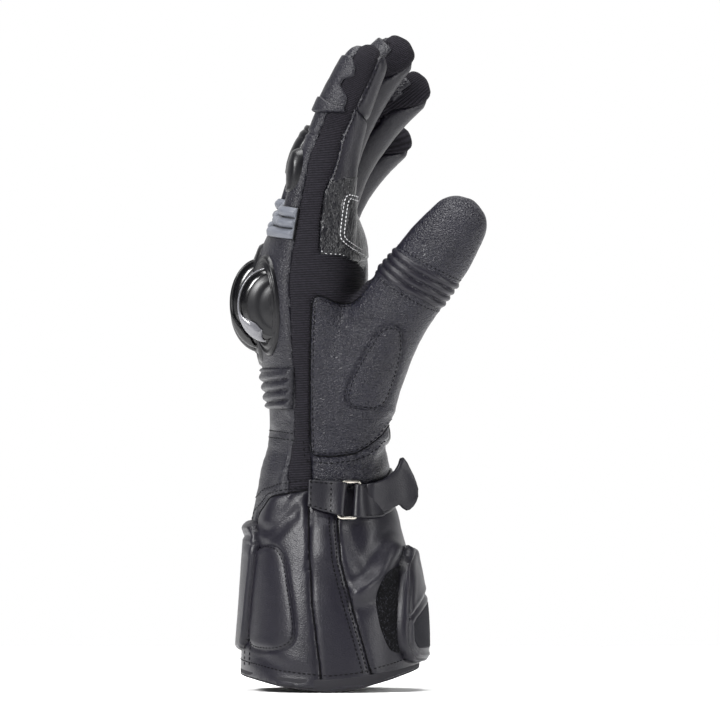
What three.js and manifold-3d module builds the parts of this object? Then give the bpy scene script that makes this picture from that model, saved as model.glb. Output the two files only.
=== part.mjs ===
// Motorcycle gauntlet for the left hand, shaped as worn: fingers up, back of the hand towards -Y,
// palm towards +Y, thumb side towards +X. The origin is the middle of the cuff's mouth, at the hem.
// Leather panels are cut from one hollow glove body, and pads, ribs and straps lie on it.
import * as THREE from "three";
import Module from "manifold-3d";

const wasm = await Module();
wasm.setup();

// Driving dimensions, in millimetres
const leather = 2.4; // wall of leather with its lining
const seamGap = 0.3; // left between pieces that are sewn or pressed together
const cuffHeight = 92;
const hemWidth = 116;
const hemDepth = 80;
const wristWidth = 76;
const wristDepth = 58;
const palmHeight = 122; // wrist seam to the forks of the fingers
const knuckleWidth = 97;
const knuckleDepth = 50;
const indexLength = 94.5; // fingers are measured from inside the hand to their tips
const middleLength = 105;
const ringFingerLength = 96.5;
const littleLength = 74.5;
const fingerWidth = 23.4;
const fingerDepth = 33; // at the fingers' roots
const thumbLength = 130; // from inside the heel of the palm to the tip
const thumbWidth = 32;
const thumbDepth = 29;
const padThickness = 2.0;
const patchThickness = 1.2;
const ribHeight = 2.0;
const ribPitch = 4.5;
const knuckleShellRise = 12;
const strapHeight = 15;
const strapThickness = 1.8;
const strapEndRise = 6; // how far the strap's end tab stands off
const ringWire = 1.9;
const hemTapeHeight = 6;
const hemTapeThickness = 1.1;
const slitHeight = 48;
const slitWidth = 14;
const flapThickness = 3.2;
const bodySides = 24;
const fingerSides = 10;
const liningSides = 12; // the hollow is drawn with fewer sides than the outside
const fingerLiningSides = 8;
const squareness = 2.4; // exponent of the body's rounded cross-section

// Cuff sections. up is a share of cuffHeight, wide and deep go from the wrist (0) to the hem (1),
// back is the centre's shift towards the palm as a share of hemDepth.
const cuffRows = [
  { up: 0.0, wide: 1.0, deep: 1.0, back: -0.031 },
  { up: 0.22, wide: 0.93, deep: 0.97, back: -0.025 },
  { up: 0.435, wide: 0.78, deep: 0.86, back: -0.022 },
  { up: 0.65, wide: 0.53, deep: 0.63, back: -0.037 },
  { up: 0.815, wide: 0.26, deep: 0.38, back: -0.054 },
  { up: 0.95, wide: 0.06, deep: 0.13, back: -0.057 },
];

// Hand sections. up is a share of palmHeight, wide and deep go from the wrist (0) to the knuckles (1),
// pinch scales the depth, back is as a share of knuckleDepth, fall tilts the section to the little finger.
const palmRows = [
  { up: 0.05, wide: 0.0, deep: 0.05, pinch: 1.0, back: -0.088, fall: 0.0 },
  { up: 0.164, wide: 0.1, deep: 0.2, pinch: 0.915, back: -0.074, fall: 0.0 },
  { up: 0.27, wide: 0.33, deep: 0.35, pinch: 0.89, back: -0.09, fall: 0.0 },
  { up: 0.393, wide: 0.62, deep: 0.5, pinch: 0.9, back: -0.14, fall: 0.0 },
  { up: 0.516, wide: 0.83, deep: 0.7, pinch: 0.935, back: -0.19, fall: 0.0 },
  { up: 0.68, wide: 1.0, deep: 1.0, pinch: 1.02, back: -0.23, fall: 0.03 },
  { up: 0.803, wide: 1.0, deep: 1.0, pinch: 1.0, back: -0.21, fall: 0.05 },
  { up: 0.902, wide: 0.93, deep: 1.0, pinch: 0.88, back: -0.18, fall: 0.09 },
  { up: 0.985, wide: 0.76, deep: 1.0, pinch: 0.68, back: -0.16, fall: 0.12 },
];

// Fingers. side is a share of knuckleWidth, up of palmHeight and back of knuckleDepth, wide of
// fingerWidth and deep of fingerDepth; a finger leans from leanRoot to leanTip degrees towards the
// palm and fans out by splay degrees. ribsUp is where its ribs start, as a share of palmHeight.
const fingers = [
  { name: "index", side: 0.361, up: 0.877, back: -0.172, length: indexLength, wide: 1.0, deep: 1.0,
    leanRoot: 3, leanTip: 30, splay: 2.0, ribsUp: 0.918 },
  { name: "middle", side: 0.119, up: 0.877, back: -0.22, length: middleLength, wide: 1.0, deep: 1.0,
    leanRoot: 3, leanTip: 48, splay: 0.7, ribsUp: 0.925 },
  { name: "ring", side: -0.124, up: 0.861, back: -0.22, length: ringFingerLength, wide: 0.983, deep: 0.97,
    leanRoot: 10, leanTip: 58, splay: -0.8, ribsUp: 0.9 },
  { name: "little", side: -0.361, up: 0.828, back: -0.18, length: littleLength, wide: 0.906, deep: 0.848,
    leanRoot: 12, leanTip: 60, splay: -2.4, ribsUp: 0.835 },
];

// How a finger narrows: shares of its width and depth along its length.
const fingerRows = [
  { along: 0.0, wide: 1.0, deep: 1.0 },
  { along: 0.17, wide: 0.985, deep: 0.96 },
  { along: 0.32, wide: 0.965, deep: 0.86 },
  { along: 0.47, wide: 0.955, deep: 0.77 },
  { along: 0.63, wide: 0.93, deep: 0.71 },
  { along: 0.78, wide: 0.89, deep: 0.655 },
  { along: 0.9, wide: 0.82, deep: 0.6 },
];

// Thumb: lean towards the palm and spread towards +X in degrees, and shares of its width and depth.
const thumbRows = [
  { along: 0.0, lean: 10, spread: 18, wide: 1.16, deep: 1.3 },
  { along: 0.15, lean: 15, spread: 19, wide: 1.19, deep: 1.31 },
  { along: 0.305, lean: 21, spread: 19, wide: 1.18, deep: 1.24 },
  { along: 0.456, lean: 31, spread: 16, wide: 1.12, deep: 1.14 },
  { along: 0.583, lean: 38, spread: 12, wide: 1.04, deep: 1.03 },
  { along: 0.665, lean: 38, spread: 8, wide: 1.0, deep: 1.0 },
  { along: 0.8, lean: 36, spread: 3, wide: 0.96, deep: 0.93 },
  { along: 0.915, lean: 35, spread: 1, wide: 0.81, deep: 0.8 },
];
const thumbRoot = { side: 0.186, up: 0.164, back: 0.08 };
const tipRounding = 0.1; // the last tenth of a finger closes to its tip

const radians = THREE.MathUtils.degToRad;
const point = (x, y, z) => new THREE.Vector3(x, y, z);

// A manifold solid from shared points and triangles, turned so that its faces point out.
function solidFrom(points, faces) {
  const make = (triangles) =>
    new wasm.Manifold(
      new wasm.Mesh({
        numProp: 3,
        vertProperties: new Float32Array(points.flatMap((p) => p.toArray())),
        triVerts: new Uint32Array(triangles.flat()),
      }),
    );
  const made = make(faces);
  return made.volume() < 0 ? make(faces.map(([a, b, c]) => [a, c, b])) : made;
}

// Triangles that close one ring of points, seen along the ring's own normal.
function capOf(ring, start) {
  const normal = point(0, 0, 0);
  ring.forEach((p, i) => normal.add(p.clone().cross(ring[(i + 1) % ring.length])));
  normal.normalize();
  const across = ring[1].clone().sub(ring[0]).normalize();
  const up = normal.clone().cross(across);
  const flat = ring.map((p) => new THREE.Vector2(p.dot(across), p.dot(up)));
  return THREE.ShapeUtils.triangulateShape(flat, []).map((t) => t.map((i) => start + i));
}

// A closed solid through rings of equal count; a ring of one point is a tip.
function loft(rings, { loop = false } = {}) {
  const starts = [];
  let count = 0;
  for (const ring of rings) {
    starts.push(count);
    count += ring.length;
  }
  const faces = [];
  const spans = loop ? rings.length : rings.length - 1;
  for (let r = 0; r < spans; r++) {
    const next = (r + 1) % rings.length;
    for (let i = 0; i < rings[r].length; i++) {
      const j = (i + 1) % rings[r].length;
      const [a, b] = [starts[r] + i, starts[r] + j];
      if (rings[next].length === 1) {
        faces.push([a, b, starts[next]]);
      } else {
        faces.push([a, b, starts[next] + j], [a, starts[next] + j, starts[next] + i]);
      }
    }
  }
  if (!loop) {
    faces.push(...capOf(rings[0], 0).map(([a, b, c]) => [a, c, b]));
    if (rings.at(-1).length > 1) faces.push(...capOf(rings.at(-1), starts.at(-1)));
  }
  return solidFrom(rings.flat(), faces);
}

const signedPower = (value, exponent) => Math.sign(value) * Math.abs(value) ** exponent;

// The body's stations, low to high: z, halves of width and depth, centre, and fall to one side.
const stations = [
  ...cuffRows.map((r) => ({
    z: r.up * cuffHeight,
    halfWidth: THREE.MathUtils.lerp(wristWidth, hemWidth, r.wide) / 2,
    halfDepth: THREE.MathUtils.lerp(wristDepth, hemDepth, r.deep) / 2,
    centre: r.back * hemDepth,
    fall: 0,
  })),
  ...palmRows.map((r) => ({
    z: cuffHeight + r.up * palmHeight,
    halfWidth: THREE.MathUtils.lerp(wristWidth, knuckleWidth, r.wide) / 2,
    halfDepth: (r.pinch * THREE.MathUtils.lerp(wristDepth, knuckleDepth, r.deep)) / 2,
    centre: r.back * knuckleDepth,
    fall: r.fall,
  })),
];

// The station at a height, between the two nearest rows.
function stationAt(z) {
  const high = stations.findIndex((s) => s.z >= z);
  if (high === 0) return { ...stations[0], z };
  if (high < 0) return { ...stations.at(-1), z };
  const [a, b] = [stations[high - 1], stations[high]];
  const t = (z - a.z) / (b.z - a.z);
  const mix = (key) => THREE.MathUtils.lerp(a[key], b[key], t);
  return { z, halfWidth: mix("halfWidth"), halfDepth: mix("halfDepth"), centre: mix("centre"),
    fall: mix("fall") };
}

// A point of the body's surface, or offset mm outside it. Angle 0 is the thumb side, 90 the palm.
function surfacePoint(station, degrees, offset) {
  const turn = radians(degrees);
  const round = 2 / squareness;
  const x = (station.halfWidth + offset) * signedPower(Math.cos(turn), round);
  const y = station.centre + (station.halfDepth + offset) * signedPower(Math.sin(turn), round);
  return point(x, y, station.z + station.fall * x);
}

function bodyLoft(offset, mouthDrop) {
  const sides = offset < 0 ? liningSides : bodySides;
  const rows = stations.map((s) => ({ ...s }));
  rows[0].z -= mouthDrop;
  rows.at(-1).z += offset;
  return loft(
    rows.map((row) =>
      Array.from({ length: sides }, (_, i) => surfacePoint(row, (360 * (i + 0.5)) / sides, offset)),
    ),
  );
}

// The stations of a finger or the thumb: centre, the two axes across it and its half sizes.
function digitStations(rows, root, length) {
  const centre = root.clone();
  return rows.map((row, i) => {
    const direction = (r) => {
      const [lean, spread] = [radians(r.lean), radians(r.spread)];
      return point(Math.sin(spread), Math.cos(spread) * Math.sin(lean),
        Math.cos(spread) * Math.cos(lean));
    };
    const along = direction(row);
    if (i > 0) {
      const step = (row.along - rows[i - 1].along) * length;
      const middle = along.clone().add(direction(rows[i - 1])).normalize();
      centre.addScaledVector(middle, step);
    }
    const side = point(1, 0, 0).addScaledVector(along, -along.x).normalize();
    return { centre: centre.clone(), along, side, front: along.clone().cross(side),
      halfSide: row.across / 2, halfFront: row.through / 2, share: row.along };
  });
}

const fingerDigits = fingers.map((f) => {
  const rows = fingerRows.map((r) => ({
    along: r.along,
    lean: THREE.MathUtils.lerp(f.leanRoot, f.leanTip, r.along),
    spread: f.splay,
    across: r.wide * f.wide * fingerWidth,
    through: r.deep * f.deep * fingerDepth,
  }));
  const root = point(f.side * knuckleWidth, f.back * knuckleDepth, cuffHeight + f.up * palmHeight);
  return { ...f, root, stations: digitStations(rows, root, f.length) };
});
const thumb = {
  name: "thumb",
  length: thumbLength,
  stations: digitStations(
    thumbRows.map((r) => ({ ...r, across: r.deep * thumbDepth, through: r.wide * thumbWidth })),
    point(thumbRoot.side * knuckleWidth, thumbRoot.back * knuckleDepth,
      cuffHeight + thumbRoot.up * palmHeight),
    thumbLength,
  ),
};
const digits = [...fingerDigits, thumb];

const onDigit = (s, turn, offset, scale = 1, ahead = 0) =>
  s.centre
    .clone()
    .addScaledVector(s.along, ahead)
    .addScaledVector(s.side, (s.halfSide + offset) * scale * Math.cos(turn))
    .addScaledVector(s.front, (s.halfFront + offset) * scale * Math.sin(turn));

function digitLoft(digit, offset) {
  const sides = offset < 0 ? fingerLiningSides : fingerSides;
  const turns = Array.from({ length: sides }, (_, i) => (2 * Math.PI * (i + 0.5)) / sides);
  const rings = digit.stations.map((s) => turns.map((turn) => onDigit(s, turn, offset)));
  const last = digit.stations.at(-1);
  const reach = (1 - last.share) * digit.length + offset;
  for (const degrees of [32, 62]) {
    const bend = radians(degrees);
    rings.push(turns.map((turn) => onDigit(last, turn, offset, Math.cos(bend), reach * Math.sin(bend))));
  }
  rings.push([last.centre.clone().addScaledVector(last.along, reach)]);
  return loft(rings);
}

// The whole glove's outer form, offset mm larger all round, or its hollow if offset is negative.
const formCache = new Map();
function form(offset) {
  const key = offset.toFixed(3);
  if (!formCache.has(key)) {
    const mouthDrop = offset < 0 ? cuffHeight / 10 : 0;
    formCache.set(key, digits.reduce((all, d) => all.add(digitLoft(d, offset)), bodyLoft(offset, mouthDrop)));
  }
  return formCache.get(key);
}

// Regions that cut panels and pads, as outlines seen from one side and pushed through the glove
const far = 2 * hemWidth;
const alongX = (outline, from, to) =>
  loft([from, to].map((x) => outline.map(([y, z]) => point(x, y, z))));
const alongY = (outline, from, to) =>
  loft([from, to].map((y) => outline.map(([x, z]) => point(x, y, z))));

// Moves each side of an outline out by a distance.
function grown(outline, by) {
  const turning = Math.sign(THREE.ShapeUtils.area(outline.map(([x, y]) => new THREE.Vector2(x, y))));
  return outline.map((here, i) => {
    const before = outline[(i + outline.length - 1) % outline.length];
    const after = outline[(i + 1) % outline.length];
    const normals = [[before, here], [here, after]].map(([a, b]) =>
      new THREE.Vector2(b[1] - a[1], a[0] - b[0]).normalize().multiplyScalar(turning));
    const middle = normals[0].clone().add(normals[1]).normalize();
    const reach = by / Math.max(0.4, middle.dot(normals[0]));
    return [here[0] + middle.x * reach, here[1] + middle.y * reach];
  });
}

// Outline points given as shares: [share of depth, share of height] on the hand and on the cuff.
const onHand = ([back, up]) => [back * knuckleDepth, cuffHeight + up * palmHeight];
const onCuff = ([back, up]) => [back * hemDepth, up * cuffHeight];

// A rounded outline through a few points.
const rounded = (outline, count) =>
  new THREE.CatmullRomCurve3(outline.map(([a, b]) => point(a, b, 0)), true, "centripetal")
    .getPoints(count)
    .slice(0, -1)
    .map((p) => [p.x, p.y]);

// Seam lines seen from the thumb side, low to high
const backSeam = [
  [-0.414, -0.3], [-0.41, 0.094], [-0.364, 0.205], [-0.364, 0.371], [-0.387, 0.5],
  [-0.405, 0.684], [-0.41, 0.762], [-0.36, 0.918], [-0.316, 1.024], [-0.29, 1.12],
].map(onHand);
const palmSeam = [
  [-0.24, -0.3], [-0.207, 0.039], [-0.227, 0.14], [-0.227, 0.271], [-0.219, 0.534],
  [-0.203, 0.673], [-0.15, 0.86], [-0.11, 1.006], [-0.075, 1.12],
].map(onHand);
const webOutline = [
  [-0.25, 0.86], [0.09, 0.845], [0.32, 0.81], [0.37, 0.775], [0.37, 0.75], [0.099, 0.65], [-0.25, 0.65],
].map(onHand);
const thumbOutline = [
  [-0.203, 0.673], [0.099, 0.67], [0.333, 0.762], [0.333, 1.15], [1.7, 1.15], [1.7, 0.35],
  [0.62, 0.26], [0.4365, 0.19], [0.333, 0.153], [0.178, 0.118], [-0.031, 0.107], [-0.221, 0.108],
  [-0.227, 0.14], [-0.227, 0.271], [-0.219, 0.534],
].map(onHand);
const thumbPalmEdge = [[0.05, -0.05], [0.21, 0.86], [0.21, 1.2], [1.2, 1.2], [1.2, -0.05]].map(
  ([side, up]) => [side * knuckleWidth, cuffHeight + up * palmHeight],
);
const cuffOutline = [
  [-1.2, -0.1], [-1.2, 0.72], [-0.467, 0.734], [-0.433, 0.871], [-0.366, 0.944], [-0.264, 0.968],
  [-0.163, 0.983], [0, 0.99], [0.38, 1.03], [1.2, 1.03], [1.2, -0.1],
].map(onCuff);
const cuffSeam = [[-0.06, -0.1], [-0.073, 0.049], [-0.101, 0.245], [-0.129, 0.44], [-0.146, 0.734],
  [-0.152, 1.1]].map(onCuff);

const leftOf = (line) => [...line, [-far, line.at(-1)[1]], [-far, line[0][1]]];
const forkHeight = cuffHeight + palmHeight * 1.012;
const forkFall = palmRows.at(-1).fall;
const aboveForks = [[-far, forkHeight - forkFall * far], [far, forkHeight + forkFall * far],
  [far, forkHeight + far], [-far, forkHeight + far]];

// Cutting the leather body into its panels
const pieces = [];
const largest = (solid) =>
  solid.decompose().reduce((best, s) => (s.volume() > best.volume() ? s : best));
const keep = (name, solid, material) => pieces.push({ name, solid: largest(solid), material });

const finishes = {
  leather: { color: 0x2c2c31, roughness: 0.62, metalness: 0 },
  palmLeather: { color: 0x36363c, roughness: 0.7, metalness: 0 },
  stretch: { color: 0x1b1a1e, roughness: 0.95, metalness: 0 },
  ribGrey: { color: 0x6f767d, roughness: 0.6, metalness: 0 },
  hardShell: { color: 0x141417, roughness: 0.2, metalness: 0.1 },
  rubber: { color: 0x232327, roughness: 0.5, metalness: 0 },
  hook: { color: 0x0f0f11, roughness: 1, metalness: 0 },
  tape: { color: 0x202024, roughness: 0.9, metalness: 0 },
  metal: { color: 0xcfc8bd, roughness: 0.3, metalness: 1 },
  pale: { color: 0xe6e6e6, roughness: 0.6, metalness: 0 },
};

let remaining = form(0).subtract(form(-leather));
function carve(name, material, region, grownRegion) {
  keep(name, remaining.intersect(region), material);
  remaining = remaining.subtract(grownRegion);
}
const thumbRegion = (by) =>
  alongX(grown(thumbOutline, by), 0, far).intersect(alongY(grown(thumbPalmEdge, by), -far, far));
carve("thumb_leather", "palmLeather", thumbRegion(0), thumbRegion(seamGap));

const middles = fingerDigits.slice(1).map((f, i) => ((f.side + fingerDigits[i].side) / 2) * knuckleWidth);
const topRegion = (by) => alongY(grown(aboveForks, by), -far, far);
const fingerPart = remaining.intersect(topRegion(0));
remaining = remaining.subtract(topRegion(seamGap));
fingerDigits.forEach((f, i) => {
  const high = i === 0 ? far : middles[i - 1] - seamGap / 2;
  const low = i === fingerDigits.length - 1 ? -far : middles[i] + seamGap / 2;
  const column = alongY([[low, 0], [high, 0], [high, 2 * far], [low, 2 * far]], -far, far);
  keep(f.name + "_finger", fingerPart.intersect(column), "leather");
});

const cuffRegion = (by) => alongX(grown(cuffOutline, by), -far, far);
const cuffBody = remaining.intersect(cuffRegion(0));
remaining = remaining.subtract(cuffRegion(seamGap));
const cuffBackRegion = (by) => alongX(grown(leftOf(cuffSeam), by), -far, far);
const slitSide = -0.14 * hemWidth;
const slit = alongY([[slitSide - slitWidth / 2, -cuffHeight], [slitSide - slitWidth / 2, 0],
  [slitSide, slitHeight], [slitSide + slitWidth / 2, 0], [slitSide + slitWidth / 2, -cuffHeight]], 0, far);
keep("cuff_back_panel", cuffBody.intersect(cuffBackRegion(0)), "leather");
keep("cuff_palm_panel", cuffBody.subtract(cuffBackRegion(seamGap)).subtract(slit), "leather");

const backRegion = (by) => alongX(grown(leftOf(backSeam), by), -far, far);
carve("hand_back_panel", "leather", backRegion(0), backRegion(seamGap));
const sideFrom = 0.3 * knuckleWidth;
const stripe = (by) => grown([...backSeam, ...palmSeam.slice().reverse()], by);
const thumbStripe = (by) =>
  alongX(stripe(by), sideFrom - by, far).add(alongX(grown(webOutline, by), 0.2 * knuckleWidth - by, far));
carve("thumb_side_stretch_panel", "stretch", thumbStripe(0), thumbStripe(seamGap));
carve("outer_side_stretch_panel", "stretch", alongX(stripe(0), -far, -sideFrom),
  alongX(stripe(seamGap), -far, seamGap - sideFrom));
keep("palm_panel", remaining, "palmLeather");

// Pads and patches that lie on the glove: the skin between two offsets, inside a region
const skin = (low, high, region) => form(high).subtract(form(low)).intersect(region);

const thumbPad = rounded([[0.405, 0.572], [0.511, 0.589], [0.6, 0.56], [0.573, 0.441], [0.468, 0.314],
  [0.3, 0.282], [0.13, 0.3], [0.126, 0.369], [0.261, 0.483]].map(onHand), 18);
keep("thumb_base_pad", skin(seamGap, seamGap + patchThickness, alongX(thumbPad, 0, far)), "palmLeather");

const cuffPad = rounded([[-0.458, 0.631], [-0.385, 0.716], [-0.3, 0.685], [-0.255, 0.514],
  [-0.223, 0.303], [-0.27, 0.22], [-0.405, 0.2], [-0.485, 0.26], [-0.485, 0.42]].map(onCuff), 18);
keep("cuff_side_pad", skin(seamGap, seamGap + padThickness, alongX(cuffPad, 0.245 * hemWidth, far)), "leather");

const guardOutline = rounded([[-0.2, 0.14], [0, 0.11], [0.2, 0.14], [0.22, 0.45], [0.2, 0.76], [0, 0.83],
  [-0.2, 0.76], [-0.22, 0.45]].map(([side, up]) => [side * hemWidth, up * cuffHeight]), 18);
keep("cuff_back_guard", skin(seamGap, seamGap + 1.6 * padThickness, alongY(guardOutline, -far, 0)), "leather");

const hookTop = seamGap + patchThickness;
const hookOutline = rounded([[0.37, 0.62], [0.281, 0.582], [0.235, 0.5], [0.235, 0.36], [0.3, 0.21],
  [0.4, 0.18], [0.52, 0.22], [0.52, 0.6]].map(onCuff), 16);
keep("hook_patch", skin(seamGap, hookTop, alongX(hookOutline, 0.08 * hemWidth, far)), "hook");

const flapOutline = [[-0.47, 0.17], [0.24, 0.14], [0.28, 0.22], [0.27, 0.6], [0.23, 0.71], [-0.42, 0.66]].map(
  ([side, up]) => [side * hemWidth, up * cuffHeight]);
const flapLow = hookTop + seamGap;
keep("cuff_flap", skin(flapLow, flapLow + flapThickness, alongY(flapOutline, 0, far)), "leather");

const handSide = ([side, up]) => [side * knuckleWidth, cuffHeight + up * palmHeight];
const sliderOutline = rounded([[-0.36, 0.17], [-0.2, 0.14], [-0.06, 0.16],
  [-0.03, 0.22], [-0.1, 0.3], [-0.34, 0.31]].map(handSide), 14);
keep("palm_heel_slider", skin(seamGap, seamGap + 2 * padThickness, alongY(sliderOutline, 0, far)), "rubber");

const palmBar = [[-0.009, 0.99], [-0.068, 0.985], [-0.12, 0.951], [-0.135, 0.854], [0.025, 0.841],
  [0.6, 0.8], [0.6, 0.99]].map(onHand);
keep("finger_base_reinforcement", skin(seamGap, seamGap + patchThickness, alongX(palmBar, -far, far)), "palmLeather");

// Ribs across a surface: place(across, along, offset) gives a point, with across from 0 to 1 and
// along counted in ribs; the underside lies at a given offset.
function ribs(count, steps, under, place) {
  const low = seamGap + 0.35 * ribHeight;
  const high = seamGap + ribHeight;
  const profile = [];
  for (let i = 0; i < count; i++) profile.push([i + 0.1, low], [i + 0.2, high], [i + 0.8, high], [i + 0.9, low]);
  for (let i = count; i >= 0; i--) profile.push([i, under]);
  return loft(Array.from({ length: steps + 1 }, (_, k) =>
    profile.map(([along, offset]) => place(k / steps, along, offset))));
}
const wristRibsFrom = 0.29;
keep("wrist_ribs", ribs(4, 9, 2 * seamGap, (across, along, offset) => {
  const z = cuffHeight + wristRibsFrom * palmHeight + along * ribPitch;
  return surfacePoint(stationAt(z), THREE.MathUtils.lerp(-153, -27, across), offset + seamGap);
}), "leather");

// A wedge round a digit's axis, between two shares of its length and two angles.
function digitWedge(digit, from, to, degreesFrom, degreesTo) {
  const steps = 3;
  return loft([from, to].map((share) => {
    const s = digitStation(digit, share);
    const arc = Array.from({ length: steps + 1 }, (_, i) =>
      onDigit(s, radians(THREE.MathUtils.lerp(degreesFrom, degreesTo, i / steps)), 4 * padThickness));
    return [s.centre.clone(), ...arc];
  }));
}

// A digit's station at a share of its length, between the two nearest rows.
function digitStation(digit, share) {
  const rows = digit.stations;
  const high = Math.max(1, rows.findIndex((s) => s.share >= share));
  const [a, b] = [rows[high - 1], rows[high]];
  const t = (share - a.share) / (b.share - a.share);
  const mixed = (key) => a[key].clone().lerp(b[key], t).normalize();
  return { centre: a.centre.clone().lerp(b.centre, t), along: mixed("along"), side: mixed("side"),
    front: mixed("front"), halfSide: THREE.MathUtils.lerp(a.halfSide, b.halfSide, t),
    halfFront: THREE.MathUtils.lerp(a.halfFront, b.halfFront, t) };
}
const onDigitAt = (digit, share, degrees, offset) =>
  onDigit(digitStation(digit, share), radians(degrees), offset);
const thumbRibsFrom = 0.595;
keep("thumb_ribs", ribs(4, 8, 2 * seamGap, (across, along, offset) => onDigitAt(thumb,
  thumbRibsFrom + (along * ribPitch) / thumbLength, THREE.MathUtils.lerp(-88, 88, across), offset + seamGap)), "leather");

// Ribs over a finger's root lie on the hand or on the finger, whichever stands further out.
const ribReach = 0.8; // how far they go round the finger, as a share of its half width
for (const f of fingerDigits) {
  const bars = ribs(3, 5, -2 * padThickness, (across, along, offset) => {
    const z = cuffHeight + f.ribsUp * palmHeight + along * ribPitch;
    const onFinger = digitStation(f, (z - f.root.z) / f.length);
    const onHandBack = stationAt(z);
    const beside = ribReach * (2 * across - 1);
    const x = onFinger.centre.x + beside * onFinger.halfSide;
    const inward = Math.max(0, 1 - Math.abs(x / onHandBack.halfWidth) ** squareness);
    const back = Math.min(onHandBack.centre - onHandBack.halfDepth * inward ** (1 / squareness),
      onFinger.centre.y - onFinger.halfFront * Math.sqrt(1 - beside ** 2));
    return point(x, back - offset, z);
  });
  keep(f.name + "_ribs", bars.subtract(form(seamGap)), "ribGrey");
}

const backOfFinger = (f, from, to, halfSpan) => digitWedge(f, from, to, -90 - halfSpan, -90 + halfSpan);
for (const f of fingerDigits) {
  keep(f.name + "_finger_slider",
    skin(seamGap, seamGap + 1.7 * padThickness, backOfFinger(f, 0.33, 0.52, 40)), "rubber");
  keep(f.name + "_tip_guard",
    skin(seamGap, seamGap + patchThickness, backOfFinger(f, 0.66, 0.89, 60)), "leather");
}

// Knuckle guard: a padded base on the back of the hand and a hard shell over each knuckle
const baseOutline = rounded([[-0.47, 0.475], [-0.2, 0.47], [0.1, 0.49], [0.44, 0.51], [0.47, 0.68],
  [0.43, 0.84], [0.12, 0.87], [-0.2, 0.83], [-0.45, 0.74]].map(handSide), 20);
keep("knuckle_base", skin(seamGap, seamGap + patchThickness, alongY(baseOutline, -far, -0.45 * knuckleDepth)), "rubber");
const knuckles = [
  { name: "index", side: 0.33, up: 0.675, halfHeight: 0.152, rise: 1.0 },
  { name: "middle", side: 0.11, up: 0.68, halfHeight: 0.17, rise: 1.15 },
  { name: "ring", side: -0.11, up: 0.655, halfHeight: 0.16, rise: 1.1 },
  { name: "little", side: -0.32, up: 0.6, halfHeight: 0.14, rise: 0.9 },
];
const shellSides = 14;
for (const k of knuckles) {
  const station = stationAt(cuffHeight + k.up * palmHeight);
  const side = k.side * knuckleWidth;
  const across = 1 - Math.abs(side / station.halfWidth) ** squareness;
  const surface = station.centre - station.halfDepth * across ** (1 / squareness);
  const dome = new THREE.SphereGeometry(1, shellSides, shellSides / 2);
  dome.scale(0.1 * knuckleWidth, knuckleShellRise, k.halfHeight * palmHeight);
  dome.translate(side, surface + knuckleShellRise * (1.25 - k.rise), station.z);
  const rim = seamGap + patchThickness + seamGap;
  keep(k.name + "_knuckle_shell", weldedSolid(dome).subtract(form(rim)), "hardShell");
}

// A manifold solid from a three.js geometry whose corners are merged by place.
function weldedSolid(geometry) {
  const places = new Map();
  const points = [];
  const position = geometry.getAttribute("position");
  const indexOf = (i) => {
    const p = point(0, 0, 0).fromBufferAttribute(position, i);
    const key = p.toArray().map((v) => Math.round(v * 1e4)).join();
    if (!places.has(key)) {
      places.set(key, points.length);
      points.push(p);
    }
    return places.get(key);
  };
  const corners = Array.from(geometry.index.array, indexOf);
  const faces = [];
  for (let i = 0; i < corners.length; i += 3) {
    const face = corners.slice(i, i + 3);
    if (new Set(face).size === 3) faces.push(face);
  }
  return solidFrom(points, faces);
}

// A strap that follows the body's surface: each point of its outline is [angle, offset]
const strapZ = 0.935 * cuffHeight;
const strapRise = 0.085 * cuffHeight; // the strap climbs towards the palm
const riseFrom = 24; // degrees round the wrist
const strapMiddle = (degrees) =>
  strapZ + strapRise * Math.min(1, Math.max(0, (degrees - riseFrom) / (90 - riseFrom)));
function strap(outline, height) {
  const longest = 10; // degrees between points
  const dense = outline.flatMap(([degrees, offset], i) => {
    const [nextDegrees, nextOffset] = outline[(i + 1) % outline.length];
    const count = Math.max(1, Math.ceil(Math.abs(nextDegrees - degrees) / longest));
    return Array.from({ length: count }, (_, k) => [
      THREE.MathUtils.lerp(degrees, nextDegrees, k / count),
      THREE.MathUtils.lerp(offset, nextOffset, k / count),
    ]);
  });
  return loft([-height / 2, height / 2].map((up) =>
    dense.map(([degrees, offset]) => surfacePoint(stationAt(strapMiddle(degrees) + up), degrees, offset))));
}

// The strap is doubled round a wire ring on the thumb side and pulled back towards the palm
const strapLow = 3 * seamGap;
const strapTop = strapLow + strapThickness;
const wireOffset = strapTop + seamGap + ringWire / 2;
const doubledLow = strapTop + ringWire + 2 * seamGap;
const doubledTop = doubledLow + strapThickness;
const backedLow = strapTop + seamGap;
const backedTop = backedLow + strapThickness;
const ringAngle = 14;
const barAngle = 7.2; // from the ring's middle to its upright bars, in degrees round the wrist
// Outline of a strap doubled round a bar, from its upper end to its lower end and back inside
const doubled = (bar, way, upper, lower) => [
  [upper, backedTop], [bar - way * 7, doubledTop], [bar + way * 2.6, doubledTop],
  [bar + way * 5.6, wireOffset + 1.1], [bar + way * 5.6, wireOffset - 1.1], [bar + way * 2.6, strapLow],
  [lower, strapLow], [lower, strapTop], [bar + way * 1.2, strapTop], [bar + way * 2.7, wireOffset],
  [bar + way * 1.2, doubledLow], [bar - way * 6, doubledLow], [upper, backedLow],
];
const anchorFrom = -17;
keep("strap_anchor", strap(doubled(ringAngle - barAngle, 1, anchorFrom, anchorFrom), strapHeight), "leather");
const tabFrom = 66;
const tabTo = 104;
const strapTo = 176;
keep("wrist_strap", strap(doubled(ringAngle + barAngle, -1, tabFrom, strapTo), strapHeight), "leather");
keep("strap_end_tab", strap([[tabFrom + 1, backedLow], [tabTo, backedLow + strapEndRise],
  [tabTo, backedTop + strapEndRise], [tabFrom + 1, backedTop + 1]], 1.6 * strapHeight), "rubber");

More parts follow.
